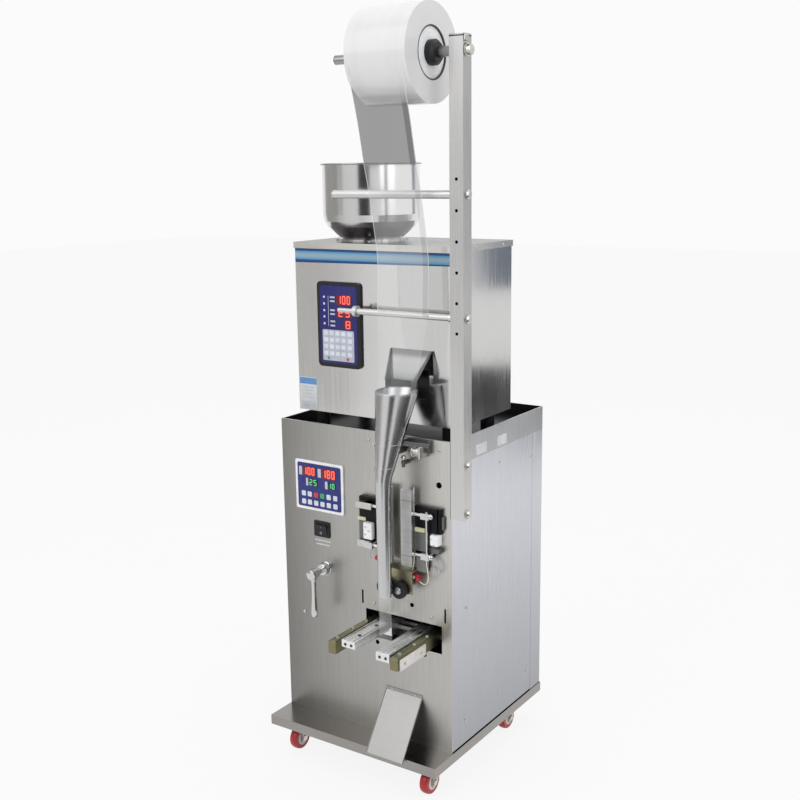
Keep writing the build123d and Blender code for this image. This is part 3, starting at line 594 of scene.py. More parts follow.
def pad(x, z, width, height, y, rise, radius):
    """Soft key: rounded rectangle whose top is drawn in along a quarter ellipse."""
    steps = [(rise * (1 - cos(t)) * 1.4, rise * (0.3 + 0.7 * sin(t))) for t in np.linspace(0, pi / 2, 4)]
    return lifted(lambda s: rounded(width - 2 * s, height - 2 * s, radius - s / 2, 4), (x, y, z), "-y",
                  [(0, 0)] + steps)


def ball(place, radius):
    """Ball end: the lathe line is half a circle that stops just short of the axis at both ends."""
    arc = [(radius * sin(a), max(radius * cos(a), 0.2)) for a in np.linspace(-pi / 2, pi / 2, 14)]
    return turned(place, "z", arc, 28)


def profile_bar(outline, y0, y1, edge=0.4):
    """Outline of (x, z) points carried along Y; both ends are drawn in a little towards its middle."""
    middle = outline.mean(0)
    size = np.abs(outline - middle).max()
    levels = [(middle + (outline - middle) * (1 - inset / size), -y)
              for y, inset in ((y0, edge), (y0 + edge, 0), (y1 - edge, 0), (y1, edge))]
    return stacked((0, 0, 0), "-y", levels)


SEGMENTS = {"0": "abcdef", "1": "bc", "2": "abged", "3": "abgcd", "5": "afgcd", "8": "abcdefg"}


def figure(text, x, z, width, height, y):
    """Figures of a seven-bar display: each lit bar is a thin pad in its place in the cell."""
    cell = width / len(text)
    w, h, t = cell * 0.52, height * 0.72, height * 0.11
    places = {"a": (0, h / 2, w, t), "g": (0, 0, w, t), "d": (0, -h / 2, w, t),
              "b": (w / 2, h / 4, t, h / 2), "c": (w / 2, -h / 4, t, h / 2), "f": (-w / 2, h / 4, t, h / 2),
              "e": (-w / 2, -h / 4, t, h / 2)}
    shapes = []
    for n, letter in enumerate(text):
        middle = x - width / 2 + (n + 0.5) * cell
        for bar in SEGMENTS[letter]:
            dx, dz, bw, bh = places[bar]
            shapes.append(pad(middle + dx, z + dz, max(bw, t), max(bh, t), y, 0.15, 0.2))
    return shapes


# Control panel on the cabinet and keypad on the weigher

class Field:
    """Places on an upright face given as shares across and down a rectangle."""

    def __init__(self, name, left, top, width, height, y):
        self.name, self.left, self.top, self.width, self.height, self.y = name, left, top, width, height, y

    def at(self, u, v):
        return self.left + u * self.width, self.top - v * self.height

    def area(self, u0, u1, v0, v1, depth=0.4, radius=0.8, lift=0.0):
        x, z = self.at((u0 + u1) / 2, (v0 + v1) / 2)
        return plate(x, z, (u1 - u0) * self.width, (v1 - v0) * self.height, self.y - lift, depth, radius,
                     0.15)

    def window(self, n, u0, u1, v0, v1, text, glass_finish, light):
        """Display: a tinted front with its lit figures just before it."""
        piece(f"{self.name}_display_{n}", [self.area(u0, u1, v0, v1, 0.8)], glass_finish)
        x, z = self.at((u0 + u1) / 2, (v0 + v1) / 2)
        shapes = figure(text, x, z, (u1 - u0) * self.width * 0.92, (v1 - v0) * self.height, self.y - 0.8)
        piece(f"{self.name}_figures_{n}", shapes, light)


def make_console():
    """Blue sheet with four displays, four pale tags and two rows of six keys."""
    panel = Field("console", -165, 625, 119, 102, -3.5)
    piece("console_sheet", [plate(-105.5, 574, 108, 91, -3, 0.5, 4, 0.2)], console_blue)
    tags = ((.08, .145, .137, .31), (.478, .545, .137, .31), (.223, .27, .357, .515), (.625, .68, .37, .52))
    piece("console_tags", [panel.area(*t, 0.25, 0.6) for t in tags], label_grey)
    panel.window(1, .157, .435, .12, .31, "100", red_glass, red_light)
    panel.window(2, .557, .86, .115, .32, "180", red_glass, red_light)
    panel.window(3, .28, .47, .36, .506, "25", green_glass, green_light)
    panel.window(4, .69, .843, .374, .51, "10", green_glass, green_light)
    columns = (.17, .296, .43, .562, .696, .835)
    kinds = (button_white, button_white, button_red, button_green, button_white, button_white)
    for n, (u, kind) in enumerate(zip(columns, kinds)):
        for row, v, finish in (("upper", .68, kind), ("lower", .846, button_white)):
            x, z = panel.at(u, v)
            piece(f"console_key_{row}_{n + 1}", [pad(x, z, 10.5, 10.5, panel.y, 0.8, 2.0)], finish)


def make_keypad():
    """Dark blue sheet in the black frame, with lamps, three displays and a pale block of keys."""
    keypad = Field("keypad", -129, 979.5, 104, 168, 36.4)
    piece("keypad_sheet", [plate(-77, 895.5, 90, 153, 37, 0.6, 8, 0.2)], keypad_blue)
    spots = [keypad.at(.17, v) for v in (.18, .258, .336, .41, .49)]
    lamps = [domed((x, keypad.y, z), "-y", 2.4, 0.7) for x, z in spots]
    piece("keypad_lamps", lamps, pale_light)
    lines = [keypad.area(.262, .272, .165, .52, 0.2, 0.3)]
    lines += [keypad.area(.31, .42, v, v + .02, 0.2, 0.3) for v in (.17, .215, .32, .365, .45, .5)]
    piece("keypad_lines", lines, label_grey)
    for n, (v0, v1, text) in enumerate(((.146, .265, "100"), (.3, .41, "25"), (.435, .545, "8"))):
        keypad.window(n + 1, .465 + (0.17 if text == "8" else 0), .81, v0, v1, text, red_glass, red_light)
    piece("keypad_block", [keypad.area(.12, .85, .56, .925, 0.4, 2.5)], button_grey)
    centres = [keypad.at(u, v) for v in (.6, .68, .76, .84) for u in (.2, .335, .47, .605, .755)]
    keys = [pad(x, z, 10.2, 8.4, keypad.y - 0.4, 0.6, 1.6) for x, z in centres]
    piece("keypad_keys", keys, button_white)
    for name, u, finish in (("green", .25, button_green), ("red", .7, button_red)):
        x, z = keypad.at(u, .895)
        piece(f"keypad_{name}_key", [domed((x, keypad.y - 0.4, z), "-y", 3.2, 0.9)], finish)


def make_labels():
    """Stripe under the lid, sticker at the weigher's corner, and bare labels."""
    face = np.array(((-184.8, 1014.0), (184.8, 1018.0), (184.8, 1041.6), (-184.8, 1041.6)))
    rings = [np.stack((face[:, 0], np.full(4, y), face[:, 1]), -1) for y in (42.0, 41.75)]
    piece("weigher_stripe", [solid(rings)], stripe_blue)
    piece("sticker", [plate(-161.3, 751.5, 44, 65, 42, 0.25, 1.5, 0.1)], label_white)
    piece("sticker_head", [plate(-161.3, 776.5, 43, 13, 41.75, 0.1, 1.0, 0.05)], label_blue)
    rows = [plate(-161.3 - k, z, 32 - 2 * k, 2.0, 41.75, 0.08, 0.4, 0.04) for k, z in
            ((0, 764), (2, 757), (4, 750), (1, 743))]
    rows.append(plate(-161.3, 729, 36, 12, 41.75, 0.08, 0.8, 0.04))
    piece("sticker_rows", rows, label_grey)
    lines = [plate(-102.5, z, 40 - k, 2.6, 0, 0.2, 0.8, 0.08) for k, z in ((0, 461), (6, 453))]
    piece("switch_label", lines, label_white)
    for n, (y, width) in enumerate(((112, 40), (193, 38))):
        label = plate(200, 668, width, 20, y, 0.25, 1.0, 0.1, "x")
        piece(f"band_label_{n + 1}", [label], label_white)


def make_screws():
    """Screws on the front, on the right and left sides and on the back, and bolts of the lid."""
    front = ((-155.2, 298.8), (21.4, 354.4), (155.9, 353.7))
    for n, (x, z) in enumerate(front):
        piece(f"front_screw_{n + 1}", [screw((x, 0, z), "-y", 3.6, 2.4)], nut_zinc)
    for n, (y, z) in enumerate(((55, 364), (51, 132), (317, 607), (307, 133), (185, 132), (185, 625))):
        piece(f"side_screw_{n + 1}", [screw((200, y, z), "x", 3.2, 1.8)], nut_zinc)
        piece(f"left_screw_{n + 1}", [screw((-200, y, z), "-x", 3.2, 1.8)], nut_zinc)
    for n, y in enumerate((114.5, 217.0)):
        for name, x, way in (("right", 187, "x"), ("left", -187, "-x")):
            piece(f"lid_screw_{name}_{n + 1}", [screw((x, y, 1048), way, 2.6, 1.6)], nut_zinc)
    for n, (x, z) in enumerate(((-165, 640), (0, 640), (165, 640), (-165, 100), (0, 100), (165, 100))):
        piece(f"back_screw_{n + 1}", [screw((x, 368, z), "y", 3.2, 1.8)], nut_zinc)


# Film

def skin(rows):
    """Open surface through rows of points, one row after the other."""
    return solid(rows, round_ways=False, lids=False)


def make_film():
    """Film from the reel past the upper roller to the guide rod, on round the funnel, and below the tube.

    The web is a profile in Y and Z carried across X, with a slow wave across it. The lead is a ruled
    surface between a straight line at the rod and half an ellipse round the funnel. The tube of film goes
    from a circle to a flat loop, by a share that follows a half cosine of the height."""
    across = np.linspace(0, 1, 25)
    profile = smooth(((-70.9, 1366.3), (-63, 1336), (-46, 1277), (-29, 1204), (-14, 1149), (2, 1073),
                      (8.5, 1035), (9, 1000), (7.4, 960), (6.3, 929)), 90)
    x = 37.5 + 112 * across
    wave = 0.8 * np.sin(across * 7.0)[None, :] * np.sin(np.linspace(0, pi, 90))[:, None]
    rows = np.stack(np.broadcast_arrays(x[None, :], profile[:, :1] + wave, profile[:, 1:]), -1)
    length = np.linalg.norm(np.diff(profile, axis=0), axis=1).sum()
    web = piece("film_upper_web", [skin(rows)], film_upper, sharp=180)
    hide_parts("film_web")
    for name, at in (("left", 38.0), ("right", 149.0)):
        path = np.stack((np.full(90, at), profile[:, 0] - 0.3, profile[:, 1]), -1)
        hem = swept(path, rounded(1.4, 0.3, 0.1, 3), up=(0, -1, 0.1))
        piece(f"film_edge_{name}", [hem], film_edge)

    top = np.stack((x, np.full(25, 6.3), np.full(25, 929.0)), -1)
    low = oval(TUBE_X, -13, 786, 41.2, 41.2, pi + pi * across)
    share = np.linspace(0, 1, 40)[:, None, None]
    rows = top * (1 - share) + low * share
    lead = piece("film_lead", [skin(rows)], film_lower, sharp=180)

    rings = []
    for z in np.linspace(440, 300, 36):
        s = 0.5 - 0.5 * cos(pi * min(max((420 - z) / 88, 0.0), 1.0))
        rings.append(oval(TUBE_X, TUBE_Y, z, 13.6 * (1 - s) + 0.5 * s, 13.6 * (1 - s) + 21 * s, around(48)))
    bag = piece("film_tube", [solid(rings, lids=False)], film_tube, sharp=180)
    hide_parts("film_bag")


# Former, funnel and trough

def cone_ring(level, inset):
    """Level section of the skew funnel: its axis leans by atan(LEAN / RISE) and its radius grows from
    FOOT_R at the axis's foot; each line along the cone is followed to where it meets the level."""
    t = around(64)
    run = np.hypot(LEAN, RISE)
    lean_sin, lean_cos = LEAN / run, RISE / run
    foot, growth = FOOT_R - inset, GROWTH / run
    along = (level - FOOT_Z + foot * np.sin(t) * lean_sin) / (lean_cos - growth * np.sin(t) * lean_sin)
    radius = foot + growth * along
    return oval(TUBE_X, TUBE_Y + along * lean_sin, level, radius, radius * lean_cos, t)


def make_former_trim():
    """Rolled rim, seam strip, two clamp bands, and the bolt and screws of the bracket."""
    t = around(64)
    rings = [cone_ring(z, 0.0) for z in np.linspace(790, FOOT_Z, 24)]
    rings += [oval(TUBE_X, TUBE_Y, z, r, r, t)
              for z, r in ((628, 14.5), (560, 13.9), (480, 13.2), (403, 12.5), (403, 11.5), (628, 13.5))]
    rings += [cone_ring(z, 1.0) for z in np.linspace(FOOT_Z, 790, 12)]
    former = piece("former_shell", [solid(rings + rings[:1], lids=False)], former_steel)
    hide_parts("former")
    rim = cone_ring(789.6, 0.5)
    ring = np.concatenate((rim, rim[:1]))
    piece("funnel_rim", [swept(ring, regular(1.0, 10))], former_steel)
    for n, (z, height, proud) in enumerate(((695, 4.0, 1.4), (650, 8.0, 1.2))):
        rings = []
        for dz, out in ((-height / 2, 0), (-height / 2, proud), (height / 2, proud), (height / 2, 0)):
            share = (z + dz - FOOT_Z) / RISE
            r = FOOT_R + GROWTH * share + out
            rings.append(oval(TUBE_X, TUBE_Y + LEAN * share, z + dz, r, r, t))
        piece(f"former_band_{n + 1}", [solid(rings)], former_steel)
    bends = ((786, 40.4, 1.8), (740, 33.2, 1.7), (700, 26.8, 1.6), (660, 20.4, 1.5), (634, 16.4, 1.45),
             (600, 15.2, 1.41), (500, 14.2, 1.41), (410, 13.4, 1.41))
    line = smooth([(TUBE_X + r * sin(a), TUBE_Y + LEAN * max(z - FOOT_Z, 0) / RISE - r * cos(a), z)
                   for z, r, a in bends], 60)
    piece("former_seam", [swept(line, rounded(4.2, 1.4, 0.5, 3), up=(1, 0, 0))], chrome)
    edge = line + np.array((0.2, 3.2, 0))
    piece("former_seam_shadow", [swept(edge, rounded(2.4, 1.2, 0.3, 3), up=(1, 0, 0))], black_plastic)
    nose = [(0, 3.0), (1, 5.6), (2, 6.6), (6, 6.8), (6.4, 8.6), (7, 10.0), (13, 11.4), (14, 10.6),
            (14.6, 8.4), (20, 8.4), (20.4, 10.0), (26, 10.4), (31, 10.4)]
    piece("bracket_bolt", [turned((117, -16, 681), "x", nose, 48)], nut_zinc)
    piece("bracket_flange", [brick(146, 151, -28, -3, 669, 693, 1.2)], nut_zinc)
    piece("bracket_ball", [ball((111.6, -24, 668), 5.0)], chrome)
    piece("bracket_stem", [turned((111.6, -24, 650), "z", [(0, 2.6), (1, 3.4), (13, 3.4), (14, 2.4)], 28),
                           brick(106, 116, -24, -4, 655, 661, 1)], inner_metal)
    places = ((15.3, 684, 3.0), (26.7, 675, 3.4), (177, 684, 3.2))
    heads = [screw((x, 0, z), "-y", r, 2.0) for x, z, r in places]
    piece("bracket_screws", heads, nut_zinc)
    path = smooth(((92, -33, 696), (118, -30, 697), (140, -20, 695), (158, -7, 692)), 24)
    piece("bracket_arm", [swept(path, rounded(3.0, 9.0, 1.2, 4))], inner_metal)


def make_trough_trim():
    """Folded lips along the trough's open edges, and a near-black plate on the weigher where its outlet
    opens, as painted shade.
    """
    bends = ((30, -5, 808), (38, 16.5, 834), (45.5, 38, 859))
    for name, way in (("left", -1), ("right", 1)):
        path = smooth([(TUBE_X + way * out, y, z) for out, y, z in bends], 16)
        piece(f"trough_lip_{name}", [swept(path, rounded(2.4, 2.4, 0.9, 4))], trough_steel_painted_shade)
    # A near-black plate stands for the outlet's opening: painted shade.
    piece("weigher_outlet", [plate(84, 795, 88, 54, 42, 0.6, 3, 0.2)], pan_painted_shade)


# Sealing bars, links, heaters and rollers

def make_seal_trim():
    """Links with ball ends on the sealing bars, an upright rod between them, and the heaters' fittings."""
    for name, z in (("upper", 560.0), ("lower", 481.0)):
        rod = [(0, 2.0), (0.5, 2.8), (6, 2.8), (6.6, 2.0), (28, 2.0), (28.6, 3.0), (35, 3.0), (35.5, 2.2)]
        piece(f"link_{name}", [turned((125.5, -17, z), "x", rod, 28)], chrome)
        for side, x, r in (("inner", 126.0, 4.2), ("outer", 165.6, 5.8)):
            piece(f"ball_{name}_{side}", [ball((x, -17, z), r)], chrome)
    rod = [(0, 1.0), (1, 2.6), (10, 2.6), (11, 3.4), (16, 3.4), (17, 2.4), (94, 2.4), (95, 3.6), (101, 3.6),
           (102, 2.6), (106, 2.4), (107, 1.0)]
    piece("link_rod", [turned((158, -18.5, 462), "z", rod, 28)], chrome)
    piece("sensor_rod", [turned((127.4, -14, 564), "z", [(0, 1.2), (46, 1.2), (47, 0.6)], 20)], nut_zinc)

    for name, finish, slot, blocks in (
            ("covers", heater_metal, "dark_metal", ((-2.5, 54, -11, -7.6, 526, 574, 1),
                                                    (126, 176, -11, -7.6, 526, 574, 1))),
            ("bands", nut_zinc, "zinc_plate", ((-2.8, 34.5, -23, -8, 553, 566, 0.8),
                                               (-2.8, 27, -20, -7.6, 474, 488, 0.8))),
            ("tags", label_cream, "label", ((-5, 14, -13.5, -10, 526, 533, 0.6),
                                            (128, 150, -13.5, -10, 525, 533.5, 0.6))),
            ("feet", inner_metal, "dark_metal", ((-2, 12, -13, -7.6, 488, 526, 1.2),
                                                 (126, 152, -12.5, -7.6, 487, 525, 1.2))),
            ("sleeve", sleeve_grey, "dark_metal", ((128, 153, -12, -2, 444, 479, 4),))):
        piece(f"heater_{name}", [brick(*block) for block in blocks], finish)
    socket = [brick(12, 32, -19, -8, 491, 525, 1.6), brick(164, 181, -18, -0.5, 504, 525, 1.6)]
    piece("heater_sockets", socket, white_plastic)
    pins = [domed((x, y, z), "-y", 2.2, 0.8) for x, y, z in
            ((17, -19, 516), (17, -19, 501), (25, -19, 509), (166, -18, 518), (173, -18, 506))]
    piece("socket_screws", pins, nut_zinc)
    plates = [brick(160, 182, -14, -0.5, 488, 498, 1.0), brick(168, 188, -5, -0.5, 534, 560, 0.8)]
    piece("socket_plates", plates, inner_metal)
    for side, x in (("left", 67.0), ("right", 113.0)):
        lines = [plate(x, z, 23.6, 0.9, -20, 0.12, 0.3, 0.05) for z in (476, 584)]
        piece(f"seal_lines_{side}", lines, inner_metal, f"seal_bar_{side}")
    caps = [turned((121.4, -14, 441.5), "-y", [(0, 3.8), (1, 4.6), (7, 4.6), (8, 3.6)], 28),
            turned((138, -14, 432.5), "-y", [(0, 3.4), (1, 4.2), (7, 4.2), (8, 3.2)], 28),
            brick(34, 50, -14, -4, 450, 459, 2), brick(122, 139, -17, -9, 433, 440, 2)]
    piece("terminal_caps", caps, terminal_red)
    piece("terminal_nut", [turned((127, -15, 435.5), "-y", [(0, 2.2), (1, 2.8), (6, 2.8), (6.6, 2.0)], 20)],
          label_cream)
    for side, x in (("left", 73.5), ("right", 106.5)):
        hub = [(0, 6.4), (0.8, 6.8), (1.6, 6.2), (1.6, 3.2), (2.6, 2.9), (3.2, 1.8)]
        piece(f"roller_hub_{side}", [turned((x, -41, 411), "-y", hub, 32)], nut_zinc, f"pull_roller_{side}")
        grip = knurled_outline(16.25, 40, 0.012, 160)
        levels = [(grip * k, h) for h, k in ((31.2, 0.94), (32.2, 1.0), (40, 1.0), (41.2, 0.95))]
        piece(f"roller_tyre_{side}", [stacked((x, 0, 411), "-y", levels)], black_plastic,
              f"pull_roller_{side}")
    path = smooth(((70, -30, 440), (66, -33, 432), (68, -35, 424), (76, -36, 420)), 20)
    piece("spring_arm", [swept(path, rounded(3.0, 1.6, 0.6, 3))], plate_zinc)


def make_wire(name, diameter, finish, *route):
    """Short lead between two fittings: a smooth line with the route's points as its control points and a
    round section along it. Its length is added up along the line itself."""
    data = bpy.data.curves.new(name, "CURVE")
    data.dimensions = "3D"
    line = data.splines.new("NURBS")
    line.points.add(len(route) - 1)
    line.points.foreach_set("co", np.append(metres(route), np.ones((len(route), 1)), 1).ravel())
    line.order_u = 3
    line.use_endpoint_u = True
    line.resolution_u = 12
    wire = linked(name, data)
    plain = bpy.data.meshes.new_from_object(wire)
    along = np.empty(len(plain.vertices) * 3)
    plain.vertices.foreach_get("co", along)
    length = np.linalg.norm(np.diff(along.reshape(-1, 3), axis=0), axis=1).sum()
    bpy.data.meshes.remove(plain)
    data.bevel_depth = diameter / 2000
    data.bevel_resolution = 3
    data.use_fill_caps = True
    data.materials.append(finish)
    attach(wire, "root")


def make_wires():
    """Cream leads of the heaters and of the roller's switch."""
    make_wire("wire_right_long", 2.2, wire_cream, (158, -18.5, 466), (159, -19, 456), (162, -20, 444),
              (160, -20, 430), (150, -19, 424), (140, -18, 430))
    make_wire("wire_right_loop", 2.0, button_grey, (166, -8, 478), (174, -9, 470), (180, -10, 460),
              (178, -11, 448), (168, -10, 446), (158, -6, 456))
    make_wire("wire_right_thin", 1.6, wire_cream, (128, -16, 478), (128.5, -17, 468), (127, -18, 456),
              (123, -17, 445))
    make_wire("wire_left", 1.4, button_grey, (30, -6, 474), (22, -8, 466), (20, -9, 456), (26, -9, 448),
              (36, -9, 453))


# Jaws

def grooved(width, height, groove, depth, radius=1.5):
    """Section of a jaw about its middle: a rectangle with rounded corners and a slot along its top face."""
    half_w, half_h = width / 2, height / 2
    arc = np.linspace(0, pi / 2, 4)
    right = np.stack((half_w - radius + radius * np.sin(arc), half_h - radius + radius * np.cos(arc)), -1)
    low = np.stack((half_w - radius + radius * np.cos(arc), -half_h + radius - radius * np.sin(arc)), -1)
    bed = half_h - depth
    slot = np.array(((groove / 2 - 1, bed), (groove / 2, bed + 1), (groove / 2, half_h)))
    side = np.concatenate((slot, right, low))
    return np.concatenate((side, side[::-1] * (-1, 1)))


def make_jaws():
    """Slotted jaws and outer bars with their ends, screws, guide strips and the side plate."""
    for side, x, z, height, slot in (("left", 51.0, 322, 14.6, -4.0), ("right", 129.0, 315.5, 17.6, 3.0)):
        body = f"jaw_{side}"
        section = grooved(30.6, height, 4.0, 2.4) + (x, z)
        piece(f"jaw_rail_{side}", [profile_bar(section, -127.4, -6)], jaw_metal, body)
        rails = [brick(x + slot - 8, x + slot - 5.5, -127, -7, z + height / 2 - 0.4, z + height / 2 + 1.2),
                 brick(x + 9, x + 12, -127, -7, z + height / 2 - 0.4, z + height / 2 + 0.8)]
        piece(f"jaw_strips_{side}", rails, chrome, body)
        # The holes are near-black discs just proud of the jaw ends: the dark inside them is painted shade.
        holes = [turned((x + dx, -127.5, z - 1), "-y", [(0, 2.9), (0.4, 2.9), (0.4, 2.2), (0.1, 2.0)], 24)
                 for dx in (-6.5, 7)]
        piece(f"jaw_holes_{side}", holes, card, body)
        ring = [turned((x + 4, y, z + height / 2 - 0.2), "z",
                       [(0, 4.0), (0.9, 3.8), (0.9, 2.0), (0.2, 1.7)], 28) for y in (-96, -40)]
        piece(f"jaw_plugs_{side}", ring, card if side == "left" else nut_zinc, body)
    along = np.linspace(-122, -12, 100)
    tooth = rounded(1.4, 1.8, 0.4, 3)
    for side, way in (("left", -1), ("right", 1)):
        x = TUBE_X + way * (24.5 - 0.15 * np.abs(np.sin(along * 0.9)))
        teeth = [swept(np.stack((x, along, np.full(100, z)), -1), tooth) for z in (317, 313)]
        piece(f"jaw_teeth_{side}", teeth, seal_metal, f"jaw_{side}")
    for side, x0, x1 in (("left", 7, 24), ("right", 148, 165)):
        body = f"jaw_{side}"
        piece(f"bar_nose_{side}", [brick(x0 - 0.3, x1 + 0.3, -131.4, -129.4, 297, 321, 1.2)], jaw_end, body)
        top = [brick(x0 + 2, x1 - 2, -129, -6, 320.6, 322.2, 0.5)]
        piece(f"bar_strip_{side}", top, plate_zinc, body)
        heads = [hex_head(((x0 + x1) / 2, y, 322), "z", 3.6, 2.8) for y in (-112, -62, -18)]
        piece(f"bar_screws_{side}", heads, nut_zinc, body)
    piece("side_plate", [brick(165.2, 168.2, -126, -40, 296, 318, 0.8)], hub_plastic, "jaw_right")
    piece("side_plate_screws", [screw((168, y, 307), "x", 3.2, 1.8) for y in (-112, -58)], nut_zinc,
          "jaw_right")
    fit = [turned((144, y, 313), "x", [(0, 3.4), (4.2, 3.4)], 24) for y in (-74, -22)]
    piece("spring_pins_right", fit, brass, "jaw_right")
    t = np.linspace(0, 10 * pi, 160)
    lines = [np.stack((24.6 + 11.0 * t / t[-1], y + 5.6 * np.cos(t), 316 + 5.6 * np.sin(t)), -1)
             for y in (-90, -34)]
    piece("jaw_springs", [swept(line, regular(0.7, 8), up=(1, 0, 0)) for line in lines], nut_zinc,
          "jaw_left")


# Lever, switch, chute, castors, mast and hopper

def make_lever_trim():
    """Ring and cap on the hub, and the handle's collar, waist and rounded end."""
    x, z = LEVER_X, LEVER_Z
    hub = [(0, 14.5), (1.6, 14.5), (2.4, 13.2), (8, 11.8), (13.6, 11.6), (14.4, 10.6), (14.5, 7.0)]
    piece("lever_flange", [turned((x, 0, z), "-y", hub, 48)], chrome)
    cap = [(0, 10.2), (1, 10.8), (3, 10.4), (4.4, 7.6), (5.2, 3.4), (5.4, 0.6)]
    piece("lever_cap", [turned((x, -46.6, z), "-y", cap, 40)], chrome, "lever")
    grip = [(0, 6.6), (3, 7.2), (6, 5.8), (10, 5.0), (30, 4.6), (52, 5.4), (70, 6.6), (78, 7.0), (82, 6.4),
            (84.6, 4.2), (85.4, 1.2)]
    piece("lever_handle", [turned((x, -40, z - 6), "-z", grip, 40)], chrome, "lever")


def make_switch_trim():
    """Marks of the two switch positions and a thin raised edge round the bezel."""
    y = -3.0
    piece("switch_edge", [plate(-103, 485.5, 40, 33, 0, 2.0, 3, 0.6)], black_plastic)
    bar = [brick(-104, -102.8, y - 2.6, y - 2.0, 489, 494.4, 0.2)]
    round_mark = polar(2.4, np.linspace(0, 2 * pi, 33))
    ring = np.stack((-103.4 + round_mark[:, 0], np.full(33, y - 1.9), 478.6 + round_mark[:, 1]), -1)
    piece("switch_marks", bar + [swept(ring, regular(0.35, 8), up=(0, 1, 0))], label_white, "power_rocker")


def make_chute_trim():
    """Folded side edges down the chute and its two screws."""
    top, end = np.array((0.0, 180.0)), np.array((-71.5, 74.5))
    way = (end - top) / np.linalg.norm(end - top)
    line = top + (end - top) * np.linspace(0, 1, 12)[:, None] + np.array((way[1], -way[0])) * 1.6
    for name, x in (("left", 47.8), ("right", 132.2)):
        path = np.stack((np.full(12, x), line[:, 0], line[:, 1]), -1)
        piece(f"chute_edge_{name}", [swept(path, rounded(1.6, 2.0, 0.6, 4), up=(0, -1, 0.6))], chute_steel)
    piece("chute_screws", [screw((x, -1.5, 183.6), "-y", 2.4, 1.4) for x in (62, 118)], nut_zinc)


def make_castor_trim():
    """Tyre with a round tread, ribbed hub ring and cap on each castor wheel; swivel nut on each fork."""
    for name, x, y in (("front_left", -161.5, -1), ("front_right", 161.5, -1), ("rear_left", -161.5, 307),
                       ("rear_right", 161.5, 307)):
        axle = (x, y - 21, 25)
        t = np.linspace(-pi / 2, pi / 2, 15)
        tread = [(9 * sin(a), 20.4 + 4.6 * cos(a) ** 0.6) for a in t[1:-1]]
        tyre = turned(axle, "x", [(-8.6, 4.2), (-8.6, 17)] + tread + [(8.6, 17), (8.6, 4.2)], 64)
        wheel = piece(f"castor_tyre_{name}", [tyre], red_tyre, f"castor_wheel_{name}")
        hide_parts(f"castor_wheel_{name}")
        for side, way in (("outer", "x"), ("inner", "-x")):
            ring = [(8.2, 15.6), (9.2, 15.2), (9.6, 14.0), (9.3, 11.6), (9.0, 9.4), (9.0, 5.0)]
            piece(f"castor_hub_{name}_{side}", [turned(axle, way, ring, 48)], hub_plastic,
                  f"castor_wheel_{name}")
            cap = [(12.8, 6.4), (14.4, 6.4), (15.4, 5.6), (16.2, 3.2), (16.4, 0.6)]
            piece(f"castor_nut_{name}_{side}", [turned(axle, way, cap, 6)], nut_zinc, f"castor_fork_{name}")
        race = [(0, 17), (0.8, 18.4), (2.6, 18.4), (3.4, 17.2)]
        piece(f"castor_race_{name}", [turned((x, y, 73), "z", race, 48)], fork_zinc, f"castor_fork_{name}")


def make_mast_trim():
    """Raised edge of the mast's cap, collars on its rods and end caps of the rollers."""
    piece("mast_lid", [brick(199.6, 228.4, -1.4, 27.4, 1411, 1415, 1.2)], mast_steel_painted_shade)
    collar = [(0, 9.0), (0.8, 10.6), (8, 10.6), (9, 9.0)]
    piece("guide_collar", [turned((-21.5, ROD_Y, GUIDE_Z), "x", collar, 40)], satin_rod)
    foot = [(0, 6.8), (0.6, 7.6), (8, 7.6), (8.6, 6.8)]
    piece("guide_foot", [turned((191, ROD_Y, GUIDE_Z), "x", foot, 36)], chrome)
    cap = [(0, 7.4), (0.6, 8.0), (3, 8.0), (4.4, 6.6), (4.8, 2.0)]
    piece("roller_end", [turned((-59.6, ROD_Y, ROLLER_Z), "-x", cap, 36)], chrome, "tension_roller")
    end = [(0, 8.6), (1.2, 8.6), (2.2, 7.6), (2.4, 1.0)]
    piece("shaft_end", [turned((-48.6, ROD_Y, SHAFT_Z), "-x", end, 36)], inner_metal)
    rings = knurled_outline(21.4, 20, 0.04, 120)
    levels = [(rings * k, h) for h, k in ((0, 0.96), (1, 1.0), (9, 1.0), (13, 0.86), (15.5, 0.5))]
    piece("knob_grip", [stacked((155, ROD_Y, SHAFT_Z), "x", levels)], black_plastic, "film_reel")
    nut = [(0, 11.4), (1.0, 12.0), (2.0, 11.4), (2.0, 9.6), (8.4, 9.4), (9.6, 7.8), (9.8, 1.0)]
    piece("mast_washer", [turned((MAST_X, ROD_Y, SHAFT_Z), "x", nut, 40)], nut_zinc)
    piece("mast_clip", [brick(MAST_X, 232.5, 0, 12, 1402, 1412, 1.0)], fork_zinc)
    piece("mast_strip", [brick(198.6, 200, -1.0, -0.2, 557, 703, 0.3)], inner_metal)


def make_hopper_trim():
    """Rolled rim of the bowl, feed screw's cap and stirring arm at its bottom, and the foot ring's
    screws."""
    ring = oval(HOPPER_X, HOPPER_Y, 1202.6, 99.0, 99.0, np.linspace(0, 2 * pi, 97))
    piece("hopper_lip", [swept(ring, regular(1.7, 12))], rod_steel)
    nut = [(0, 15), (2, 15), (3, 13.5), (10, 9), (14, 8.4), (15.5, 6.5), (16, 1)]
    piece("hopper_cap", [turned((HOPPER_X, HOPPER_Y, 1059.4), "z", nut, 40)], chrome)
    arm = smooth(((-72, 148, 1068), (-60, 136, 1072), (-46, 124, 1082), (-34, 112, 1092)), 24)
    piece("hopper_arm", [swept(arm, regular(3.0, 16))], chrome)
    places = oval(HOPPER_X, HOPPER_Y, 1054, 70, 70, radians(-60) + around(4))
    heads = [hex_head(place, "z", 3.2, 3.0) for place in places]
    piece("hopper_screws", heads, nut_zinc)


# Studio: a pale floor, white beyond it, soft lamps and the camera

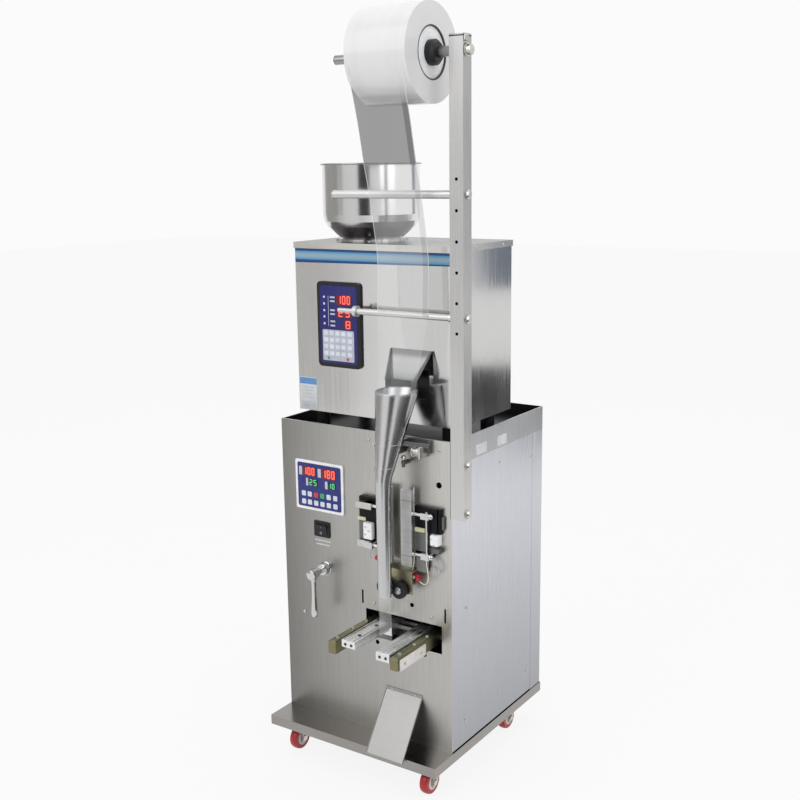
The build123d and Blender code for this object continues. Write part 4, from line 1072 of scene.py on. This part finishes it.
def make_camera():
    """Camera at the photograph's place, with its turns made into three square axes."""
    a, e, r = (radians(turn) for turn in CAMERA_TURNS)
    ahead = Vector((-sin(a) * cos(e), cos(a) * cos(e), sin(e)))
    right = Vector((cos(a), sin(a), 0.0))
    up = right.cross(ahead)
    right, up = right * cos(r) + up * sin(r), up * cos(r) - right * sin(r)
    data = bpy.data.cameras.new("camera")
    data.sensor_width, data.lens = SENSOR_MM, FOCAL_PX / PICTURE_PX * SENSOR_MM
    data.shift_x, data.shift_y = 0.0002, 0.0012
    camera = linked("camera", data)
    turn = Matrix((right, up, -ahead)).transposed().to_4x4()
    camera.matrix_world = Matrix.Translation(Vector(metres(CAMERA_PLACE))) @ turn
    bpy.context.scene.camera = camera


def make_lamp(name, place, aim, size, power, colour=(1, 1, 1)):
    """Square soft lamp at a place, in metres, facing a point."""
    data = bpy.data.lights.new(name, "AREA")
    data.shape, data.size, data.energy, data.color = "SQUARE", size, power, colour
    lamp = linked(name, data)
    lamp.location = place
    lamp.rotation_euler = (Vector(aim) - Vector(place)).to_track_quat("-Z", "Y").to_euler()


def make_card(name, azimuth, distance, width, low, high, colour):
    """Upright card round the machine, for metal to mirror, at an azimuth from its front to its right."""
    a = radians(azimuth)
    middle = np.array((sin(a), -cos(a))) * distance
    along = np.array((cos(a), sin(a))) * width / 2
    steps = np.linspace(-1, 1, 9)
    bow = (1 - steps ** 2) * 0.08
    line = middle + along * steps[:, None] + middle / distance * bow[:, None]
    rows = [np.stack((line[:, 0], line[:, 1], np.full(9, z)), -1) for z in (low, high)]
    points, faces = skin(rows)
    mesh = bpy.data.meshes.new(name)
    mesh.from_pydata(points.tolist(), [], faces)
    f = Finish(name, colour, 0.0, 0.8)
    f.use(Base_Color=f.soft(f.noise((2, 2, 2), 2.0), tone(colour, 0.9), colour))
    mesh.materials.append(f.made)
    upright = linked(name, mesh)
    upright.visible_camera = upright.visible_shadow = upright.visible_diffuse = False


def make_studio():
    """Floor that is white to the camera but keeps a soft shadow, and a world that metal sees as white."""
    f = Finish("floor", (0.86, 0.86, 0.86), 0.0, 0.7)
    f.use(Base_Color=f.soft(f.noise((3, 3, 3), 2.0), 0.85, 0.87))
    path = f.add("LightPath").outputs
    seen = f.sum("MAXIMUM", f.sum("MAXIMUM", path["Is Camera Ray"], path["Is Glossy Ray"]),
                 path["Is Transmission Ray"])
    glow = f.add("Emission", Color=(0.972, 0.972, 0.972, 1), Strength=1.0).outputs[0]
    mix = f.add("MixShader", Fac=f.sum("MULTIPLY", seen, 0.9), i1=f.shader.outputs[0], i2=glow)
    f.tree.links.new(mix.outputs[0], f.tree.nodes["Material Output"].inputs["Surface"])
    x, y = np.meshgrid((-14.0, 14.0), (-14.0, 14.0))
    mesh = bpy.data.meshes.new("floor")
    mesh.from_pydata(np.stack((x.ravel(), y.ravel(), np.zeros(4)), -1).tolist(), [], [(0, 1, 3, 2)])
    mesh.materials.append(f.made)
    linked("floor", mesh)

    world = bpy.data.worlds.new("studio")
    world.use_nodes = True
    tree = world.node_tree
    path = tree.nodes.new("ShaderNodeLightPath").outputs
    seen = path["Is Camera Ray"]
    for kind in ("Is Glossy Ray", "Is Transmission Ray"):
        either = tree.nodes.new("ShaderNodeMath")
        either.operation = "MAXIMUM"
        tree.links.new(seen, either.inputs[0])
        tree.links.new(path[kind], either.inputs[1])
        seen = either.outputs[0]
    strength = tree.nodes.new("ShaderNodeMapRange")
    tree.links.new(seen, strength.inputs["Value"])
    strength.inputs["To Min"].default_value = WORLD_LIGHT
    strength.inputs["To Max"].default_value = WORLD_SEEN
    back = tree.nodes["Background"]
    back.inputs["Color"].default_value = (1, 1, 1, 1)
    tree.links.new(strength.outputs[0], back.inputs["Strength"])
    bpy.context.scene.world = world
    make_lamp("key", (-0.9, -2.9, 2.9), (0, 0, 0.7), 2.8, 34)
    make_lamp("fill", (2.9, -0.9, 2.2), (0, 0, 0.6), 2.4, 20, (0.96, 0.98, 1.0))
    make_lamp("top", (0.1, 0.4, 3.4), (0, 0, 0.8), 2.2, 19)
    make_card("card_front", 17, 2.9, 1.4, 0.002, 2.6, (0.04, 0.04, 0.04))
    make_card("card_left", -76, 3.2, 3.2, 0.002, 1.9, (0.45, 0.44, 0.42))
    make_card("card_left_near", -43.5, 3.3, 0.8, 0.002, 1.9, (0.7, 0.69, 0.67))
    make_card("card_right", 153, 2.8, 0.6, 0.68, 1.5, (0.2, 0.235, 0.29))
    make_card("card_right_low", 150, 2.8, 1.2, 0.002, 0.33, (0.06, 0.06, 0.06))
    make_card("card_low", 80, 1.0, 1.2, 0.1, 0.68, (0.05, 0.05, 0.05))


make_camera()
make_wires()
make_console()
make_keypad()
make_labels()
make_screws()
make_film()
make_former_trim()
make_trough_trim()
make_seal_trim()
make_jaws()
make_lever_trim()
make_switch_trim()
make_chute_trim()
make_castor_trim()
make_mast_trim()
make_hopper_trim()
make_studio()
bpy.context.scene.view_settings.view_transform = "Standard"
